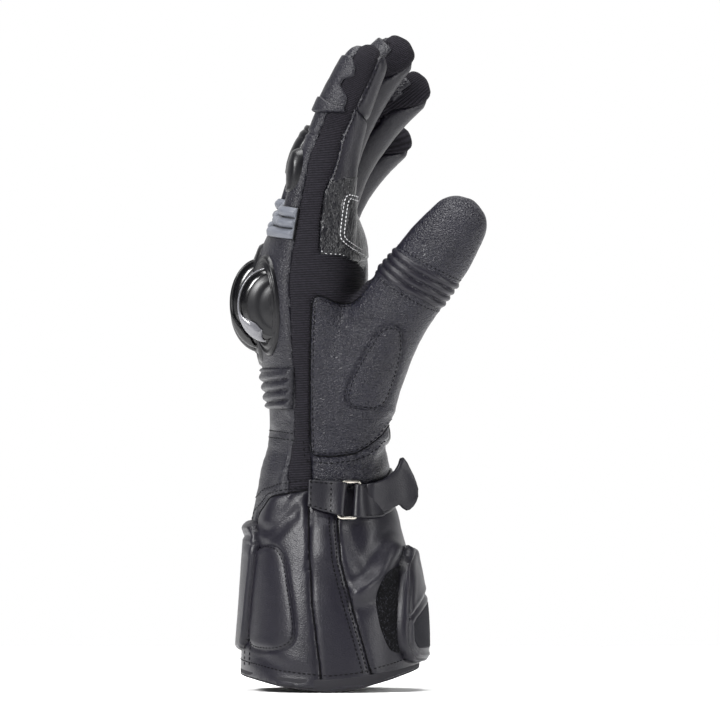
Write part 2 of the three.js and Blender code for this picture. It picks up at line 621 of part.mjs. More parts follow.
// The ring's middle, its directions along and across the strap, and the reach of its bars
const ringZ = strapMiddle(ringAngle);
const onRing = (degrees, up) => surfacePoint(stationAt(ringZ + up), degrees, wireOffset);
const ringBars = [-barAngle, barAngle].map((degrees) => onRing(ringAngle + degrees, 0));
const ringAcross = ringBars[1].clone().sub(ringBars[0]).normalize();
const ringUp = onRing(ringAngle, strapHeight / 2).sub(onRing(ringAngle, -strapHeight / 2)).normalize();
const ringOut = ringAcross.clone().cross(ringUp).normalize();
const ringCorner = 0.75 * ringWire;
const ringHalfLength = ringBars[0].distanceTo(ringBars[1]) / 2 - ringCorner;
const ringHalfHeight = strapHeight / 2 + seamGap;
const ringCentre = [-0.5, 0.5].reduce((sum, up) => sum.add(onRing(ringAngle - barAngle, up * strapHeight))
  .add(onRing(ringAngle + barAngle, up * strapHeight)), point(0, 0, 0)).multiplyScalar(0.25);
const ringPath = [[1, 1], [-1, 1], [-1, -1], [1, -1]].flatMap(([across, up], quarter) =>
  [0, 45, 90].map((degrees) => {
    const turn = radians(90 * quarter + degrees);
    const away = ringAcross.clone().multiplyScalar(Math.cos(turn)).addScaledVector(ringUp, Math.sin(turn));
    const corner = ringCentre.clone().addScaledVector(ringAcross, across * ringHalfLength)
      .addScaledVector(ringUp, up * ringHalfHeight);
    return { place: corner.addScaledVector(away, ringCorner), away };
  }));
const wireSides = 8;
keep("buckle_ring", loft(ringPath.map(({ place, away }) =>
  Array.from({ length: wireSides }, (_, k) => {
    const turn = (2 * Math.PI * k) / wireSides;
    return place.clone().addScaledVector(away, (ringWire / 2) * Math.cos(turn))
      .addScaledVector(ringOut, (ringWire / 2) * Math.sin(turn));
  })), { loop: true }), "metal");

// Hem tape round the cuff's mouth
{
  const rows = [0, hemTapeHeight].map((z) => stationAt(z));
  const ringOf = (row, offset) => Array.from({ length: bodySides }, (_, i) =>
    surfacePoint(row, (360 * (i + 0.5)) / bodySides, offset));
  const outside = seamGap + hemTapeThickness;
  keep("hem_tape", loft([ringOf(rows[0], seamGap), ringOf(rows[0], outside), ringOf(rows[1], outside),
    ringOf(rows[1], seamGap)], { loop: true }), "tape");
}

const glove = new THREE.Group();
for (const { name, solid, material } of pieces) {
  const mesh = solid.getMesh();
  const geometry = new THREE.BufferGeometry();
  geometry.setAttribute("position", new THREE.BufferAttribute(mesh.vertProperties, 3));
  geometry.setIndex(new THREE.BufferAttribute(mesh.triVerts, 1));
  const made = new THREE.Mesh(geometry, new THREE.MeshStandardMaterial(finishes[material]));
  made.name = name;
  glove.add(made);
}

export default glove;
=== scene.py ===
import math

import bpy
import numpy as np
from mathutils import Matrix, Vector, kdtree, noise


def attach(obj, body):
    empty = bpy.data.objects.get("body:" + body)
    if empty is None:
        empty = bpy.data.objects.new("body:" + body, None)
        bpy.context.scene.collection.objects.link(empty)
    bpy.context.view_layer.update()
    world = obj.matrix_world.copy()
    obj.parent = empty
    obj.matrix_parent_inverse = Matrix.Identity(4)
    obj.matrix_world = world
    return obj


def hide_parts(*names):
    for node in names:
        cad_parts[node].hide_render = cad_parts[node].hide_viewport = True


MM = 0.001
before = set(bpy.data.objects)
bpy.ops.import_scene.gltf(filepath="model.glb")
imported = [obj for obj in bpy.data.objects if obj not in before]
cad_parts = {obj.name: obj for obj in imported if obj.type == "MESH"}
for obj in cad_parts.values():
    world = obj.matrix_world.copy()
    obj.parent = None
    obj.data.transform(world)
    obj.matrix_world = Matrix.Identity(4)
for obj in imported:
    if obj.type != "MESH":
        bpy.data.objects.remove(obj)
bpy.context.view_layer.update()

# Driving sizes, as in the part's source
LEATHER = 2.4
CUFF_HEIGHT = 92
HEM_WIDTH = 116
HEM_DEPTH = 80
WRIST_WIDTH = 76
WRIST_DEPTH = 58
PALM_HEIGHT = 122
KNUCKLE_WIDTH = 97
KNUCKLE_DEPTH = 50
THUMB_LENGTH = 127.5
THUMB_WIDTH = 32
THUMB_DEPTH = 29
SQUARENESS = 2.4
STRAP_HEIGHT = 15

SKIN_STEP = 1.0  # distance between the skin's points
FAR = 300  # beyond the glove on every side

# The camera's frame: its side, the column and the row of the glove's origin, and the size of a step in it
FRAME_SIDE = 720
ORIGIN_COLUMN = 335
ORIGIN_ROW = 690
FRAME_STEP = 0.45

# Cuff sections: up, wide, deep and back as shares of the cuff's sizes
CUFF_ROWS = [
    (0.0, 1.0, 1.0, -0.031),
    (0.22, 0.93, 0.97, -0.025),
    (0.435, 0.78, 0.86, -0.022),
    (0.65, 0.53, 0.63, -0.037),
    (0.815, 0.26, 0.38, -0.054),
    (0.95, 0.06, 0.13, -0.057),
]
# Hand sections: up, wide, deep, pinch, back and fall as shares of the hand's sizes
PALM_ROWS = [
    (0.05, 0.0, 0.05, 1.0, -0.088, 0.0),
    (0.164, 0.1, 0.2, 0.915, -0.074, 0.0),
    (0.27, 0.33, 0.35, 0.89, -0.09, 0.0),
    (0.393, 0.62, 0.5, 0.9, -0.14, 0.0),
    (0.516, 0.83, 0.7, 0.935, -0.19, 0.0),
    (0.68, 1.0, 1.0, 1.02, -0.23, 0.03),
    (0.803, 1.0, 1.0, 1.0, -0.21, 0.05),
    (0.902, 0.93, 1.0, 0.88, -0.18, 0.09),
    (0.985, 0.76, 1.0, 0.68, -0.16, 0.12),
]
# Fingers: name, side, up and back as shares of the hand; length, width and depth; lean at the root and
# at the tip, and splay
FINGERS = [
    ("index", 0.361, 0.877, -0.172, 94.5, 23.4, 33, 3, 30, 2.0),
    ("middle", 0.119, 0.877, -0.22, 105, 23.4, 33, 3, 48, 0.7),
    ("ring", -0.124, 0.861, -0.22, 96.5, 23.0, 32, 10, 58, -0.8),
    ("little", -0.361, 0.828, -0.18, 74.5, 21.2, 28, 12, 60, -2.4),
]
# How a finger narrows: along, wide, deep
FINGER_ROWS = [
    (0.0, 1.0, 1.0),
    (0.17, 0.985, 0.96),
    (0.32, 0.965, 0.86),
    (0.47, 0.955, 0.77),
    (0.63, 0.93, 0.71),
    (0.78, 0.89, 0.655),
    (0.9, 0.82, 0.6),
]
# Thumb: along, lean, spread, wide, deep
THUMB_ROWS = [
    (0.0, 10, 18, 1.19, 1.38),
    (0.15, 15, 19, 1.19, 1.31),
    (0.305, 21, 19, 1.18, 1.24),
    (0.456, 31, 16, 1.12, 1.14),
    (0.583, 38, 12, 1.04, 1.03),
    (0.665, 38, 8, 1.0, 1.0),
    (0.8, 36, 3, 0.96, 0.93),
    (0.915, 35, 1, 0.81, 0.8),
]
THUMB_ROOT = (0.186, 0.08, 0.164)  # side, back and up
FINGER_NAMES = [row[0] for row in FINGERS]


# Curves and fields
def spline(x, xs, ys):
    """A smooth curve through the points, flat beyond its ends."""
    xs = np.asarray(xs, float)
    ys = np.asarray(ys, float)
    slopes = np.gradient(ys, xs)
    x = np.clip(x, xs[0], xs[-1])
    i = np.clip(np.searchsorted(xs, x) - 1, 0, len(xs) - 2)
    step = xs[i + 1] - xs[i]
    t = (x - xs[i]) / step
    near = (1 + 2 * t) * (1 - t) ** 2 * ys[i] + t**2 * (3 - 2 * t) * ys[i + 1]
    return near + step * t * (1 - t) * ((1 - t) * slopes[i] - t * slopes[i + 1])


def smoothstep(low, high, x):
    """From 0 at low to 1 at high, without a kink."""
    t = np.clip((x - low) / (high - low), 0, 1)
    return t * t * (3 - 2 * t)


def rounded(points, closed=True, steps=5):
    """Points of a smooth curve through a few points."""
    points = np.asarray(points, float)
    count = len(points)
    spans = count if closed else count - 1
    out = []
    for i in range(spans):
        pick = [(i + k) % count if closed else min(max(i + k, 0), count - 1) for k in (-1, 0, 1, 2)]
        a, b, c, d = points[pick]
        for t in np.arange(steps) / steps:
            out.append(0.5 * (2 * b + (c - a) * t + (2 * a - 5 * b + 4 * c - d) * t**2
                              + (3 * b - a - 3 * c + d) * t**3))
    if not closed:
        out.append(points[-1])
    return np.array(out)


def line_distance(flat, line, closed=False):
    """Distance of flat points from a chain of segments."""
    line = np.asarray(line, float)
    ends = np.roll(line, -1, axis=0) if closed else line[1:]
    starts = line if closed else line[:-1]
    best = np.full(len(flat), 1e9)
    for a, b in zip(starts, ends):
        along = b - a
        t = np.clip((flat - a) @ along / max(along @ along, 1e-9), 0, 1)
        best = np.minimum(best, np.linalg.norm(flat - a - t[:, None] * along, axis=1))
    return best


def inside(flat, outline):
    """Whether flat points lie inside an outline."""
    odd = np.zeros(len(flat), bool)
    for (ax, ay), (bx, by) in zip(outline, np.roll(outline, -1, axis=0)):
        crosses = (ay > flat[:, 1]) != (by > flat[:, 1])
        slope = (bx - ax) / (by - ay) if by != ay else 0
        odd ^= crosses & (flat[:, 0] < ax + (flat[:, 1] - ay) * slope)
    return odd


SIDE_VIEW = (1, 2)
BACK_VIEW = (0, 2)


def region(outline, view=SIDE_VIEW):
    """A field that is the distance from an outline, positive inside it."""
    outline = np.asarray(outline, float)

    def field(place):
        flat = place[:, view]
        sign = np.where(inside(flat, outline), 1, -1)
        return sign * line_distance(flat, outline, closed=True)

    return field


def beyond(axis, limit, way=1):
    """A field that is positive on one side of a limit."""
    return lambda place: way * (place[:, axis] - limit)


def both(*fields):
    """Where all the fields are positive."""
    return lambda place: np.min([f(place) for f in fields], axis=0)


def either(*fields):
    """Where any of the fields is positive."""
    return lambda place: np.max([f(place) for f in fields], axis=0)


def without(field, other):
    """Where the first field is positive and the other isn't."""
    return both(field, lambda place: -other(place))


# Outlines from shares of the glove's sizes: seen from the side, or from the back
def on_hand(points):
    return [(back * KNUCKLE_DEPTH, CUFF_HEIGHT + up * PALM_HEIGHT) for back, up in points]


def on_cuff(points):
    return [(back * HEM_DEPTH, up * CUFF_HEIGHT) for back, up in points]


def across_hand(points):
    return [(side * KNUCKLE_WIDTH, CUFF_HEIGHT + up * PALM_HEIGHT) for side, up in points]


def across_cuff(points):
    return [(side * HEM_WIDTH, up * CUFF_HEIGHT) for side, up in points]


def view_points(points):
    """Places in the side view from points counted along and down the camera's frame."""
    return [((x - ORIGIN_COLUMN) * FRAME_STEP, (ORIGIN_ROW - z) * FRAME_STEP) for x, z in points]


def placed(name, data):
    """A new object in the scene."""
    made = bpy.data.objects.new(name, data)
    bpy.context.collection.objects.link(made)
    return made


def smooth_object(name, corners, faces, finish):
    """An object with a smooth surface, from corners in millimetres."""
    mesh = bpy.data.meshes.new(name)
    mesh.from_pydata((corners * MM).tolist(), [], faces)
    mesh.polygons.foreach_set("use_smooth", np.ones(len(mesh.polygons), bool))
    mesh.materials.append(FINISHES[finish])
    return placed(name, mesh)


class Skin:
    """A mesh of quads with a rest place, where fields are read, and a displaced place."""

    def __init__(self, place, quads, rest=None):
        self.place = place
        self.quads = quads
        self.rest = place.copy() if rest is None else rest

    def normals(self):
        a, b, c, d = (self.place[self.quads[:, i]] for i in range(4))
        face = np.cross(c - a, d - b)
        total = np.zeros_like(self.place)
        for i in range(4):
            for axis in range(3):
                total[:, axis] += np.bincount(self.quads[:, i], face[:, axis], len(self.place))
        return total / np.maximum(np.linalg.norm(total, axis=1, keepdims=True), 1e-12)

    def edges(self):
        pairs = np.concatenate([self.quads[:, [i, (i + 1) % 4]] for i in range(4)])
        return np.unique(np.sort(pairs, axis=1), axis=0)

    def sides(self):
        """The edges, and the numbers of the four edges round each face."""
        edges = self.edges()
        count = len(self.place)
        key = edges[:, 0] * count + edges[:, 1]
        found = []
        for i in range(4):
            pair = np.sort(self.quads[:, [i, (i + 1) % 4]], axis=1)
            found.append(np.searchsorted(key, pair[:, 0] * count + pair[:, 1]))
        return edges, np.stack(found, axis=1)

    def smoothed(self, values, rounds, share=0.5):
        """Places of the corners, each moved by a share towards the mean of its neighbours."""
        edges = self.edges()
        count = np.bincount(edges.ravel(), minlength=len(self.place))[:, None]
        values = values.copy()
        for _ in range(rounds):
            total = np.zeros_like(values)
            for axis in range(3):
                total[:, axis] = np.bincount(edges[:, 0], values[edges[:, 1], axis], len(values))
                total[:, axis] += np.bincount(edges[:, 1], values[edges[:, 0], axis], len(values))
            values += share * (total / np.maximum(count, 1) - values)
        return values

    def part(self, keep):
        """The faces to keep, with their own corners."""
        quads = self.quads[keep]
        used, inverse = np.unique(quads, return_inverse=True)
        return Skin(self.place[used], inverse.reshape(quads.shape), self.rest[used])

    def refined(self):
        """Each face parted into four."""
        edges, sides = self.sides()
        middles = len(self.place) + sides
        centres = len(self.place) + len(edges) + np.arange(len(self.quads))
        quads = np.concatenate([
            np.stack([self.quads[:, i], middles[:, i], centres, middles[:, i - 1]], axis=1) for i in range(4)
        ])

        def spread(values):
            return np.concatenate([values, values[edges].mean(axis=1), values[self.quads].mean(axis=1)])

        return Skin(spread(self.place), quads, spread(self.rest))

    def snapped(self, field):
        """Moves the nearer end of each edge that crosses the field's zero onto it."""
        value = field(self.rest)
        edges = self.edges()
        a, b = edges[:, 0], edges[:, 1]
        cross = value[a] * value[b] < 0
        a, b = a[cross], b[cross]
        t = value[a] / (value[a] - value[b])
        near_a = t < 0.5
        moved = np.where(near_a, a, b)
        other = np.where(near_a, b, a)
        share = np.where(near_a, t, 1 - t)
        order = np.argsort(-share)
        for values in (self.place, self.rest):
            target = values[moved] + share[:, None] * (values[other] - values[moved])
            values[moved[order]] = target[order]

    def made(self, name, finish):
        return smooth_object(name, self.place, self.quads.tolist(), finish)


def power(value, exponent):
    """A power that keeps the sign, for sections between an oval and a box."""
    return np.sign(value) * np.abs(value) ** exponent


def body_sections():
    """Heights, widths, depths, middles and falls of the sections up the cuff and the hand."""
    cuff = np.array(CUFF_ROWS)
    palm = np.array(PALM_ROWS)
    return (
        np.concatenate([cuff[:, 0] * CUFF_HEIGHT, CUFF_HEIGHT + palm[:, 0] * PALM_HEIGHT]),
        np.concatenate([WRIST_WIDTH + cuff[:, 1] * (HEM_WIDTH - WRIST_WIDTH),
                        WRIST_WIDTH + palm[:, 1] * (KNUCKLE_WIDTH - WRIST_WIDTH)]),
        np.concatenate([WRIST_DEPTH + cuff[:, 2] * (HEM_DEPTH - WRIST_DEPTH),
                        palm[:, 3] * (WRIST_DEPTH + palm[:, 2] * (KNUCKLE_DEPTH - WRIST_DEPTH))]),
        np.concatenate([cuff[:, 3] * HEM_DEPTH, palm[:, 4] * KNUCKLE_DEPTH]),
        np.concatenate([cuff[:, 1] * 0, palm[:, 5]]))


BODY_HEIGHTS, BODY_WIDTHS, BODY_DEPTHS, BODY_MIDDLES, BODY_FALLS = body_sections()


def body_form():
    """The cuff and hand as one closed form, domed above the knuckles."""
    top = BODY_HEIGHTS[-1]
    levels = np.concatenate([[-6.0], np.arange(0, top, 2.0), [top]])
    rows = [(z, 1.0) for z in levels]
    dome = 5.0
    rows += [(top + dome * math.sin(a), math.cos(a) ** 0.7) for a in np.radians([20, 40, 60, 75, 85])]
    sides = 120
    turn = 2 * np.pi * np.arange(sides) / sides
    place = []
    for z, share in rows:
        at = min(max(z, 0), top)
        half_x = spline(at, BODY_HEIGHTS, BODY_WIDTHS) / 2 * share
        half_y = spline(at, BODY_HEIGHTS, BODY_DEPTHS) / 2 * share
        x = half_x * power(np.cos(turn), 2 / SQUARENESS)
        y = spline(at, BODY_HEIGHTS, BODY_MIDDLES) + half_y * power(np.sin(turn), 2 / SQUARENESS)
        place.append(np.stack([x, y, z + spline(at, BODY_HEIGHTS, BODY_FALLS) * x], axis=1))
    return tube(np.array(place))


def tube(rings):
    """A closed form through rings of points: corners and faces."""
    count, sides = rings.shape[:2]
    place = np.concatenate([rings.reshape(-1, 3), rings[:1].mean(axis=1), rings[-1:].mean(axis=1)])
    faces = []
    for r in range(count - 1):
        for i in range(sides):
            j = (i + 1) % sides
            faces.append((r * sides + i, r * sides + j, (r + 1) * sides + j, (r + 1) * sides + i))
    low, high = count * sides, count * sides + 1
    for i in range(sides):
        j = (i + 1) % sides
        faces.append((low, j, i))
        faces.append((high, (count - 1) * sides + i, (count - 1) * sides + j))
    return place, faces


DIGIT_SQUARENESS = 2.2
DIGIT_STEPS = 60


class Digit:
    """A finger or thumb: a bending centre line with its two half sizes."""

    def __init__(self, root, length, rows):
        self.length = length
        share = np.linspace(0, 1, DIGIT_STEPS + 1)
        along, lean, spread, half_side, half_front = (spline(share, rows[0], rows[k]) for k in range(5))
        lean, spread = np.radians(lean), np.radians(spread)
        direction = np.stack([np.sin(spread), np.cos(spread) * np.sin(lean),
                              np.cos(spread) * np.cos(lean)], axis=1)
        steps = (direction[1:] + direction[:-1]) / 2 * length / DIGIT_STEPS
        self.centre = np.concatenate([[root], root + np.cumsum(steps, axis=0)])
        self.along = direction
        side = np.array([1.0, 0, 0]) - direction * direction[:, :1]
        self.side = side / np.linalg.norm(side, axis=1, keepdims=True)
        self.front = np.cross(direction, self.side)
        reach = 0.5 * (half_side[-1] + half_front[-1])
        closing = np.clip((share - (1 - reach / length)) / (reach / length), 0, 0.997)
        self.cap = np.sqrt(1 - closing**2)
        self.half_side = half_side
        self.half_front = half_front
        self.share = share

    def form(self, sides=44):
        """The digit as a closed form."""
        turn = 2 * np.pi * np.arange(sides) / sides
        across = power(np.cos(turn), 2 / DIGIT_SQUARENESS)
        through = power(np.sin(turn), 2 / DIGIT_SQUARENESS)
        rings = (self.centre[:, None]
                 + self.side[:, None] * (self.half_side * self.cap)[:, None, None] * across[:, None]
                 + self.front[:, None] * (self.half_front * self.cap)[:, None, None] * through[:, None])
        return tube(rings)

    def coordinates(self, place):
        """Share of the length, and place to the side and front as shares of the half sizes."""
        best = np.full(len(place), 1e9)
        near = np.zeros(len(place), int)
        for k, centre in enumerate(self.centre):
            distance = np.linalg.norm(place - centre, axis=1)
            closer = distance < best
            best[closer] = distance[closer]
            near[closer] = k
        away = place - self.centre[near]
        share = self.share[near] + np.sum(away * self.along[near], axis=1) / self.length
        side = np.sum(away * self.side[near], axis=1) / self.half_side[near]
        front = np.sum(away * self.front[near], axis=1) / self.half_front[near]
        return share, side, front


def hand_root(side, back, up):
    return np.array([side * KNUCKLE_WIDTH, back * KNUCKLE_DEPTH, CUFF_HEIGHT + up * PALM_HEIGHT])


def digits():
    made = {}
    for name, side, up, back, length, width, depth, lean_root, lean_tip, splay in FINGERS:
        rows = np.array(FINGER_ROWS)
        along = rows[:, 0]
        made[name] = Digit(hand_root(side, back, up), length, np.array([
            along, lean_root + (lean_tip - lean_root) * along, splay + 0 * along,
            rows[:, 1] * width / 2, rows[:, 2] * depth / 2]))
    rows = np.array(THUMB_ROWS)
    made["thumb"] = Digit(hand_root(*THUMB_ROOT), THUMB_LENGTH, np.array([
        rows[:, 0], rows[:, 1], rows[:, 2], rows[:, 4] * THUMB_DEPTH / 2, rows[:, 3] * THUMB_WIDTH / 2]))
    return made


def joined_skin(forms):
    """One skin of even quads round all the forms."""
    place, faces = [], []
    count = 0
    for corners, polygons in forms:
        place += (corners * MM).tolist()
        faces += [tuple(count + i for i in polygon) for polygon in polygons]
        count += len(corners)
    mesh = bpy.data.meshes.new("form")
    mesh.from_pydata(place, [], faces)
    form = placed("form", mesh)
    remesh = form.modifiers.new("even", "REMESH")
    remesh.mode = "VOXEL"
    remesh.voxel_size = SKIN_STEP * MM
    evaluated = form.evaluated_get(bpy.context.evaluated_depsgraph_get())
    even = bpy.data.meshes.new_from_object(evaluated)
    corners = np.empty(len(even.vertices) * 3)
    even.vertices.foreach_get("co", corners)
    quads = np.empty(len(even.polygons) * 4, int)
    even.polygons.foreach_get("vertices", quads)
    bpy.data.objects.remove(form)
    bpy.data.meshes.remove(even)
    return Skin(corners.reshape(-1, 3) / MM, quads.reshape(-1, 4))


DIGITS = digits()
skin = joined_skin([body_form()] + [d.form() for d in DIGITS.values()])
skin.place = skin.smoothed(skin.place, 6)
THUMB_ROOT_AREA = view_points([
    (318, 306), (350, 298), (372, 306), (366, 340), (352, 385), (338, 425), (322, 425), (316, 350)
])
near_root = smoothstep(-7, 3, region(THUMB_ROOT_AREA)(skin.place)) * smoothstep(12, 20, skin.place[:, 0])
skin.place += near_root[:, None] * (skin.smoothed(skin.place, 90) - skin.place)
skin.rest = skin.place.copy()


# Seam lines and outlines on the thumb side, as seen by the camera: towards the palm, and up
BACK_SEAM = [*rounded(on_hand([
    (-0.414, -0.3), (-0.41, 0.094), (-0.364, 0.205), (-0.364, 0.371), (-0.387, 0.5), (-0.405, 0.684),
    (-0.41, 0.762), (-0.36, 0.918), (-0.316, 1.024), (-0.272, 1.109), (-0.225, 1.209), (-0.145, 1.29),
    (-0.07, 1.37), (0.02, 1.45), (0.11, 1.53), (0.22, 1.61), (0.33, 1.66)
]), False, 3)]
PALM_SEAM = [*rounded(on_hand([
    (-0.24, -0.3), (-0.207, 0.039), (-0.227, 0.14), (-0.227, 0.271), (-0.219, 0.534), (-0.203, 0.673),
    (-0.165, 0.78), (-0.135, 0.869), (-0.126, 0.961), (-0.09, 1.06), (-0.045, 1.12), (0.018, 1.193),
    (0.072, 1.282), (0.162, 1.363), (0.235, 1.425), (0.297, 1.474), (0.396, 1.57), (0.48, 1.64)
]), False, 3)]
WEB = on_hand([
    (-0.25, 0.86), (0.0, 0.862), (0.09, 0.85), (0.2, 0.825), (0.3, 0.785), (0.36, 0.755), (0.36, 0.7),
    (0.22, 0.66), (0.06, 0.65), (-0.25, 0.65)
])
THUMB_OUTLINE = on_hand([
    (-0.203, 0.673), (-0.19, 0.692), (-0.15, 0.698), (-0.08, 0.692), (0.0, 0.676), (0.06, 0.67),
    (0.13, 0.672), (0.2, 0.692), (0.27, 0.73), (0.333, 0.768), (0.38, 0.85), (0.4, 1.15), (1.9, 1.15),
    (1.9, 0.3), (0.62, 0.22), (0.52, 0.235), (0.4365, 0.19), (0.333, 0.153), (0.178, 0.118),
    (-0.031, 0.107), (-0.216, 0.113), (-0.227, 0.271), (-0.219, 0.534)
])
THUMB_PALM_EDGE = across_hand([
    (0.02, -0.05), (0.06, 0.2), (0.12, 0.45), (0.2, 0.72), (0.25, 0.9), (0.25, 1.3), (1.5, 1.3),
    (1.5, -0.05)
])
CUFF_TOP = on_cuff([
    (-1.2, 0.66), (-0.55, 0.68), (-0.467, 0.734), (-0.433, 0.871), (-0.366, 0.944), (-0.264, 0.968),
    (-0.163, 0.983), (0, 0.99), (0.38, 1.03), (1.2, 1.03)
])
CUFF_SEAM = on_cuff([
    (-0.06, -0.15), (-0.073, 0.049), (-0.101, 0.245), (-0.129, 0.44), (-0.146, 0.734), (-0.152, 1.15)
])
FRONT_SEAM = on_cuff([
    (0.245, -0.15), (0.235, 0.03), (0.202, 0.108), (0.124, 0.342), (0.079, 0.489), (0.034, 0.636),
    (0.017, 0.807), (0.01, 1.15)
])


def left_of(line):
    """The outline of all that lies on a line's back side."""
    return [*line, (-FAR, line[-1][1]), (-FAR, line[0][1])]


def below(line):
    """The outline of all that lies below a line."""
    return [*line, (line[-1][0], -FAR), (line[0][0], -FAR)]


def digit_band(name, share_from, share_to, angle_from, angle_to):
    """A field on a digit between shares of its length and angles round it; 0 is the thumb side."""
    digit = DIGITS[name]

    def field(place):
        share, side, front = digit.coordinates(place)
        angle = np.degrees(np.arctan2(front, side))
        along = np.minimum(share - share_from, share_to - share) * digit.length
        around = np.minimum(angle - angle_from, angle_to - angle) * 0.21
        near = 20 * (1.6 - np.hypot(side, front))
        return np.minimum(np.minimum(along, around), near)

    return field


def finger_sides(place):
    """Textile on both sides of the middle, ring and little fingers, and the outer side of the index."""
    best = np.full(len(place), -50.0)
    for name in FINGER_NAMES:
        digit = DIGITS[name]
        share, side, front = digit.coordinates(place)
        radius = np.hypot(side, front)
        tip = smoothstep(0.74, 0.93, share)
        narrow = 12.0 * (0.5 + 0.35 * tip - np.abs(front + 0.42 - 0.45 * tip))
        along = (share - 0.02) * digit.length
        value = np.minimum(np.minimum(narrow, along), 20 * (1.5 - radius))
        if name == "index":
            value = np.minimum(value, -20 * side)
        best = np.maximum(best, value)
    return best


def finger_backs(place):
    """Positive on the backs of the hand and fingers."""
    value = region(left_of(BACK_SEAM))(place)
    for name in FINGER_NAMES:
        digit = DIGITS[name]
        share, side, front = digit.coordinates(place)
        on_finger = (np.hypot(side, front) < 1.5) & (share > 0.16)
        if name == "index":
            on_finger &= side < 0.2
        value = np.where(on_finger, -12 * front, value)
    return value


cuff_field = region(below(CUFF_TOP))
thumb_field = both(region(THUMB_OUTLINE), region(THUMB_PALM_EDGE, BACK_VIEW), beyond(0, 8))
stripe = region([*BACK_SEAM, *PALM_SEAM[::-1]])
side_field = without(either(both(stripe, beyond(0, 12)), both(region(WEB), beyond(0, 17))), thumb_field)
outer_field = both(region([*BACK_SEAM[:8], *PALM_SEAM[:8][::-1]]), beyond(0, -0.3 * KNUCKLE_WIDTH, -1))
TIP = view_points([
    (392, 40), (379, 60), (368, 86), (356.5, 109), (362, 117), (371, 125), (378, 124), (400, 90), (410, 40)
])
# Panels in the order in which they win: name and field; the last one is all that is left
PANELS = [
    ("tip_leather", both(region(TIP), digit_band("index", 0.5, 1.2, -60, 175))),
    ("cuff_back_leather", both(cuff_field, region(left_of(CUFF_SEAM)))),
    ("cuff_front_leather", both(cuff_field, region(left_of(FRONT_SEAM)), beyond(0, 0))),
    ("cuff_palm_leather", cuff_field),
    ("thumb_leather_skin", thumb_field),
    ("side_textile", side_field),
    ("outer_textile", outer_field),
    ("finger_textile", finger_sides),
    ("back_leather", finger_backs),
    ("finger_palm_leather", both(beyond(2, 207), lambda p: 25 + 0.35 * (p[:, 2] - 206) - p[:, 1])),
]
LAST_PANEL = "palm_leather"


def labelled(base):
    """Snaps the skin onto every seam and gives each face its panel."""
    for _, field in PANELS:
        base.snapped(field)
    label = np.full(len(base.quads), len(PANELS))
    for number, (_, field) in reversed(list(enumerate(PANELS))):
        value = field(base.rest)[base.quads].mean(axis=1)
        label[value > 0] = number
    return label


# Towards the palm and up: the hem's lower edge, and the leather's edge above its tape
HEM_LINE = [
    (-46, 8.0), (-38, 6.0), (-25, 2.8), (-11, 1.1), (-2, 0.4), (11, 1.8), (25, 5.6), (38, 10.0), (46, 12.0)
]
HEM_EDGE = [
    (-46, 11.0), (-38, 9.2), (-25, 7.0), (-11, 6.1), (-2, 6.1), (11, 7.4), (25, 9.6), (38, 12.6), (46, 14.0)
]


def hem_bottom(y, line=HEM_LINE):
    """Height of a line round the hem."""
    return np.interp(y, *np.array(line).T)


def hem_field(place):
    """Height above the edge where the leather starts."""
    return place[:, 2] - hem_bottom(place[:, 1]) - 1.0


base = skin.part(np.all(skin.rest[skin.quads][:, :, 2] > -2.0, axis=1))
base.snapped(hem_field)
base = base.part(hem_field(base.rest)[base.quads].mean(axis=1) > 0)
label = labelled(base)


def seam_distance(base, label):
    """Distance of every corner from the nearest seam."""
    low = np.full(len(base.place), 99)
    high = np.full(len(base.place), -1)
    for i in range(4):
        np.minimum.at(low, base.quads[:, i], label)
        np.maximum.at(high, base.quads[:, i], label)
    on_seam = np.flatnonzero(low != high)
    tree = kdtree.KDTree(len(on_seam))
    for k, i in enumerate(on_seam):
        tree.insert(base.rest[i], k)
    tree.balance()
    return np.array([tree.find(p)[2] for p in base.rest])


def waves(place, size, seed=0.0, stretch=(1, 1, 1)):
    """Smooth noise from -1 to 1 with a given size in millimetres."""
    scaled = place / size * np.array(stretch) + seed
    return np.array([noise.noise(Vector(p)) for p in scaled.tolist()])


# Folds seen from the thumb side: points of the fold, its half width and its depth, a ridge if negative
FOLDS = [
    (view_points([(258, 545), (272, 538), (296, 516)]), 1.8, 0.6),
    (view_points([(268, 530), (280, 523), (297, 508)]), 1.6, 0.6),
    (view_points([(262, 512), (280, 504), (300, 500)]), 2.5, -0.2),
    (view_points([(352, 528), (360, 550), (372, 566)]), 5.0, 1.6),
    (view_points([(358, 592), (366, 586), (376, 577), (385, 563), (392, 548)]), 3.4, -2.2),
    (view_points([(322, 532), (324, 550)]), 7.0, -1.4),
    (view_points([(392, 515), (400, 545)]), 5.0, -1.0),
    (view_points([(262, 655), (285, 668), (300, 672)]), 3.0, 0.6),
    (on_hand([(-0.42, 0.18), (-0.5, 0.12), (-0.56, 0.02)]), 3.5, 1.0),
    (on_hand([(-0.44, 0.06), (-0.52, -0.02), (-0.6, -0.12)]), 3.0, -0.9),
    (on_hand([(-0.43, 0.24), (-0.52, 0.2), (-0.64, 0.21)]), 2.5, 1.0),
    (view_points([(366, 468), (371, 456), (374, 446)]), 1.3, 0.7),
    (view_points([(373, 467), (378, 453), (382, 442)]), 1.4, 0.8),
    (view_points([(380, 463), (384, 450), (388, 441)]), 1.3, 0.7),
    (view_points([(352, 466), (358, 462), (364, 461)]), 2.0, 0.5),
    (view_points([(345, 412), (365, 417), (388, 404)]), 1.6, 0.35),
    (view_points([(352, 430), (372, 430), (390, 418)]), 1.6, 0.4),
    (view_points([(318, 420), (330, 430), (350, 440)]), 1.6, 0.3),
    (view_points([(306, 133), (313, 135.5), (321, 137)]), 0.8, 0.8),
]


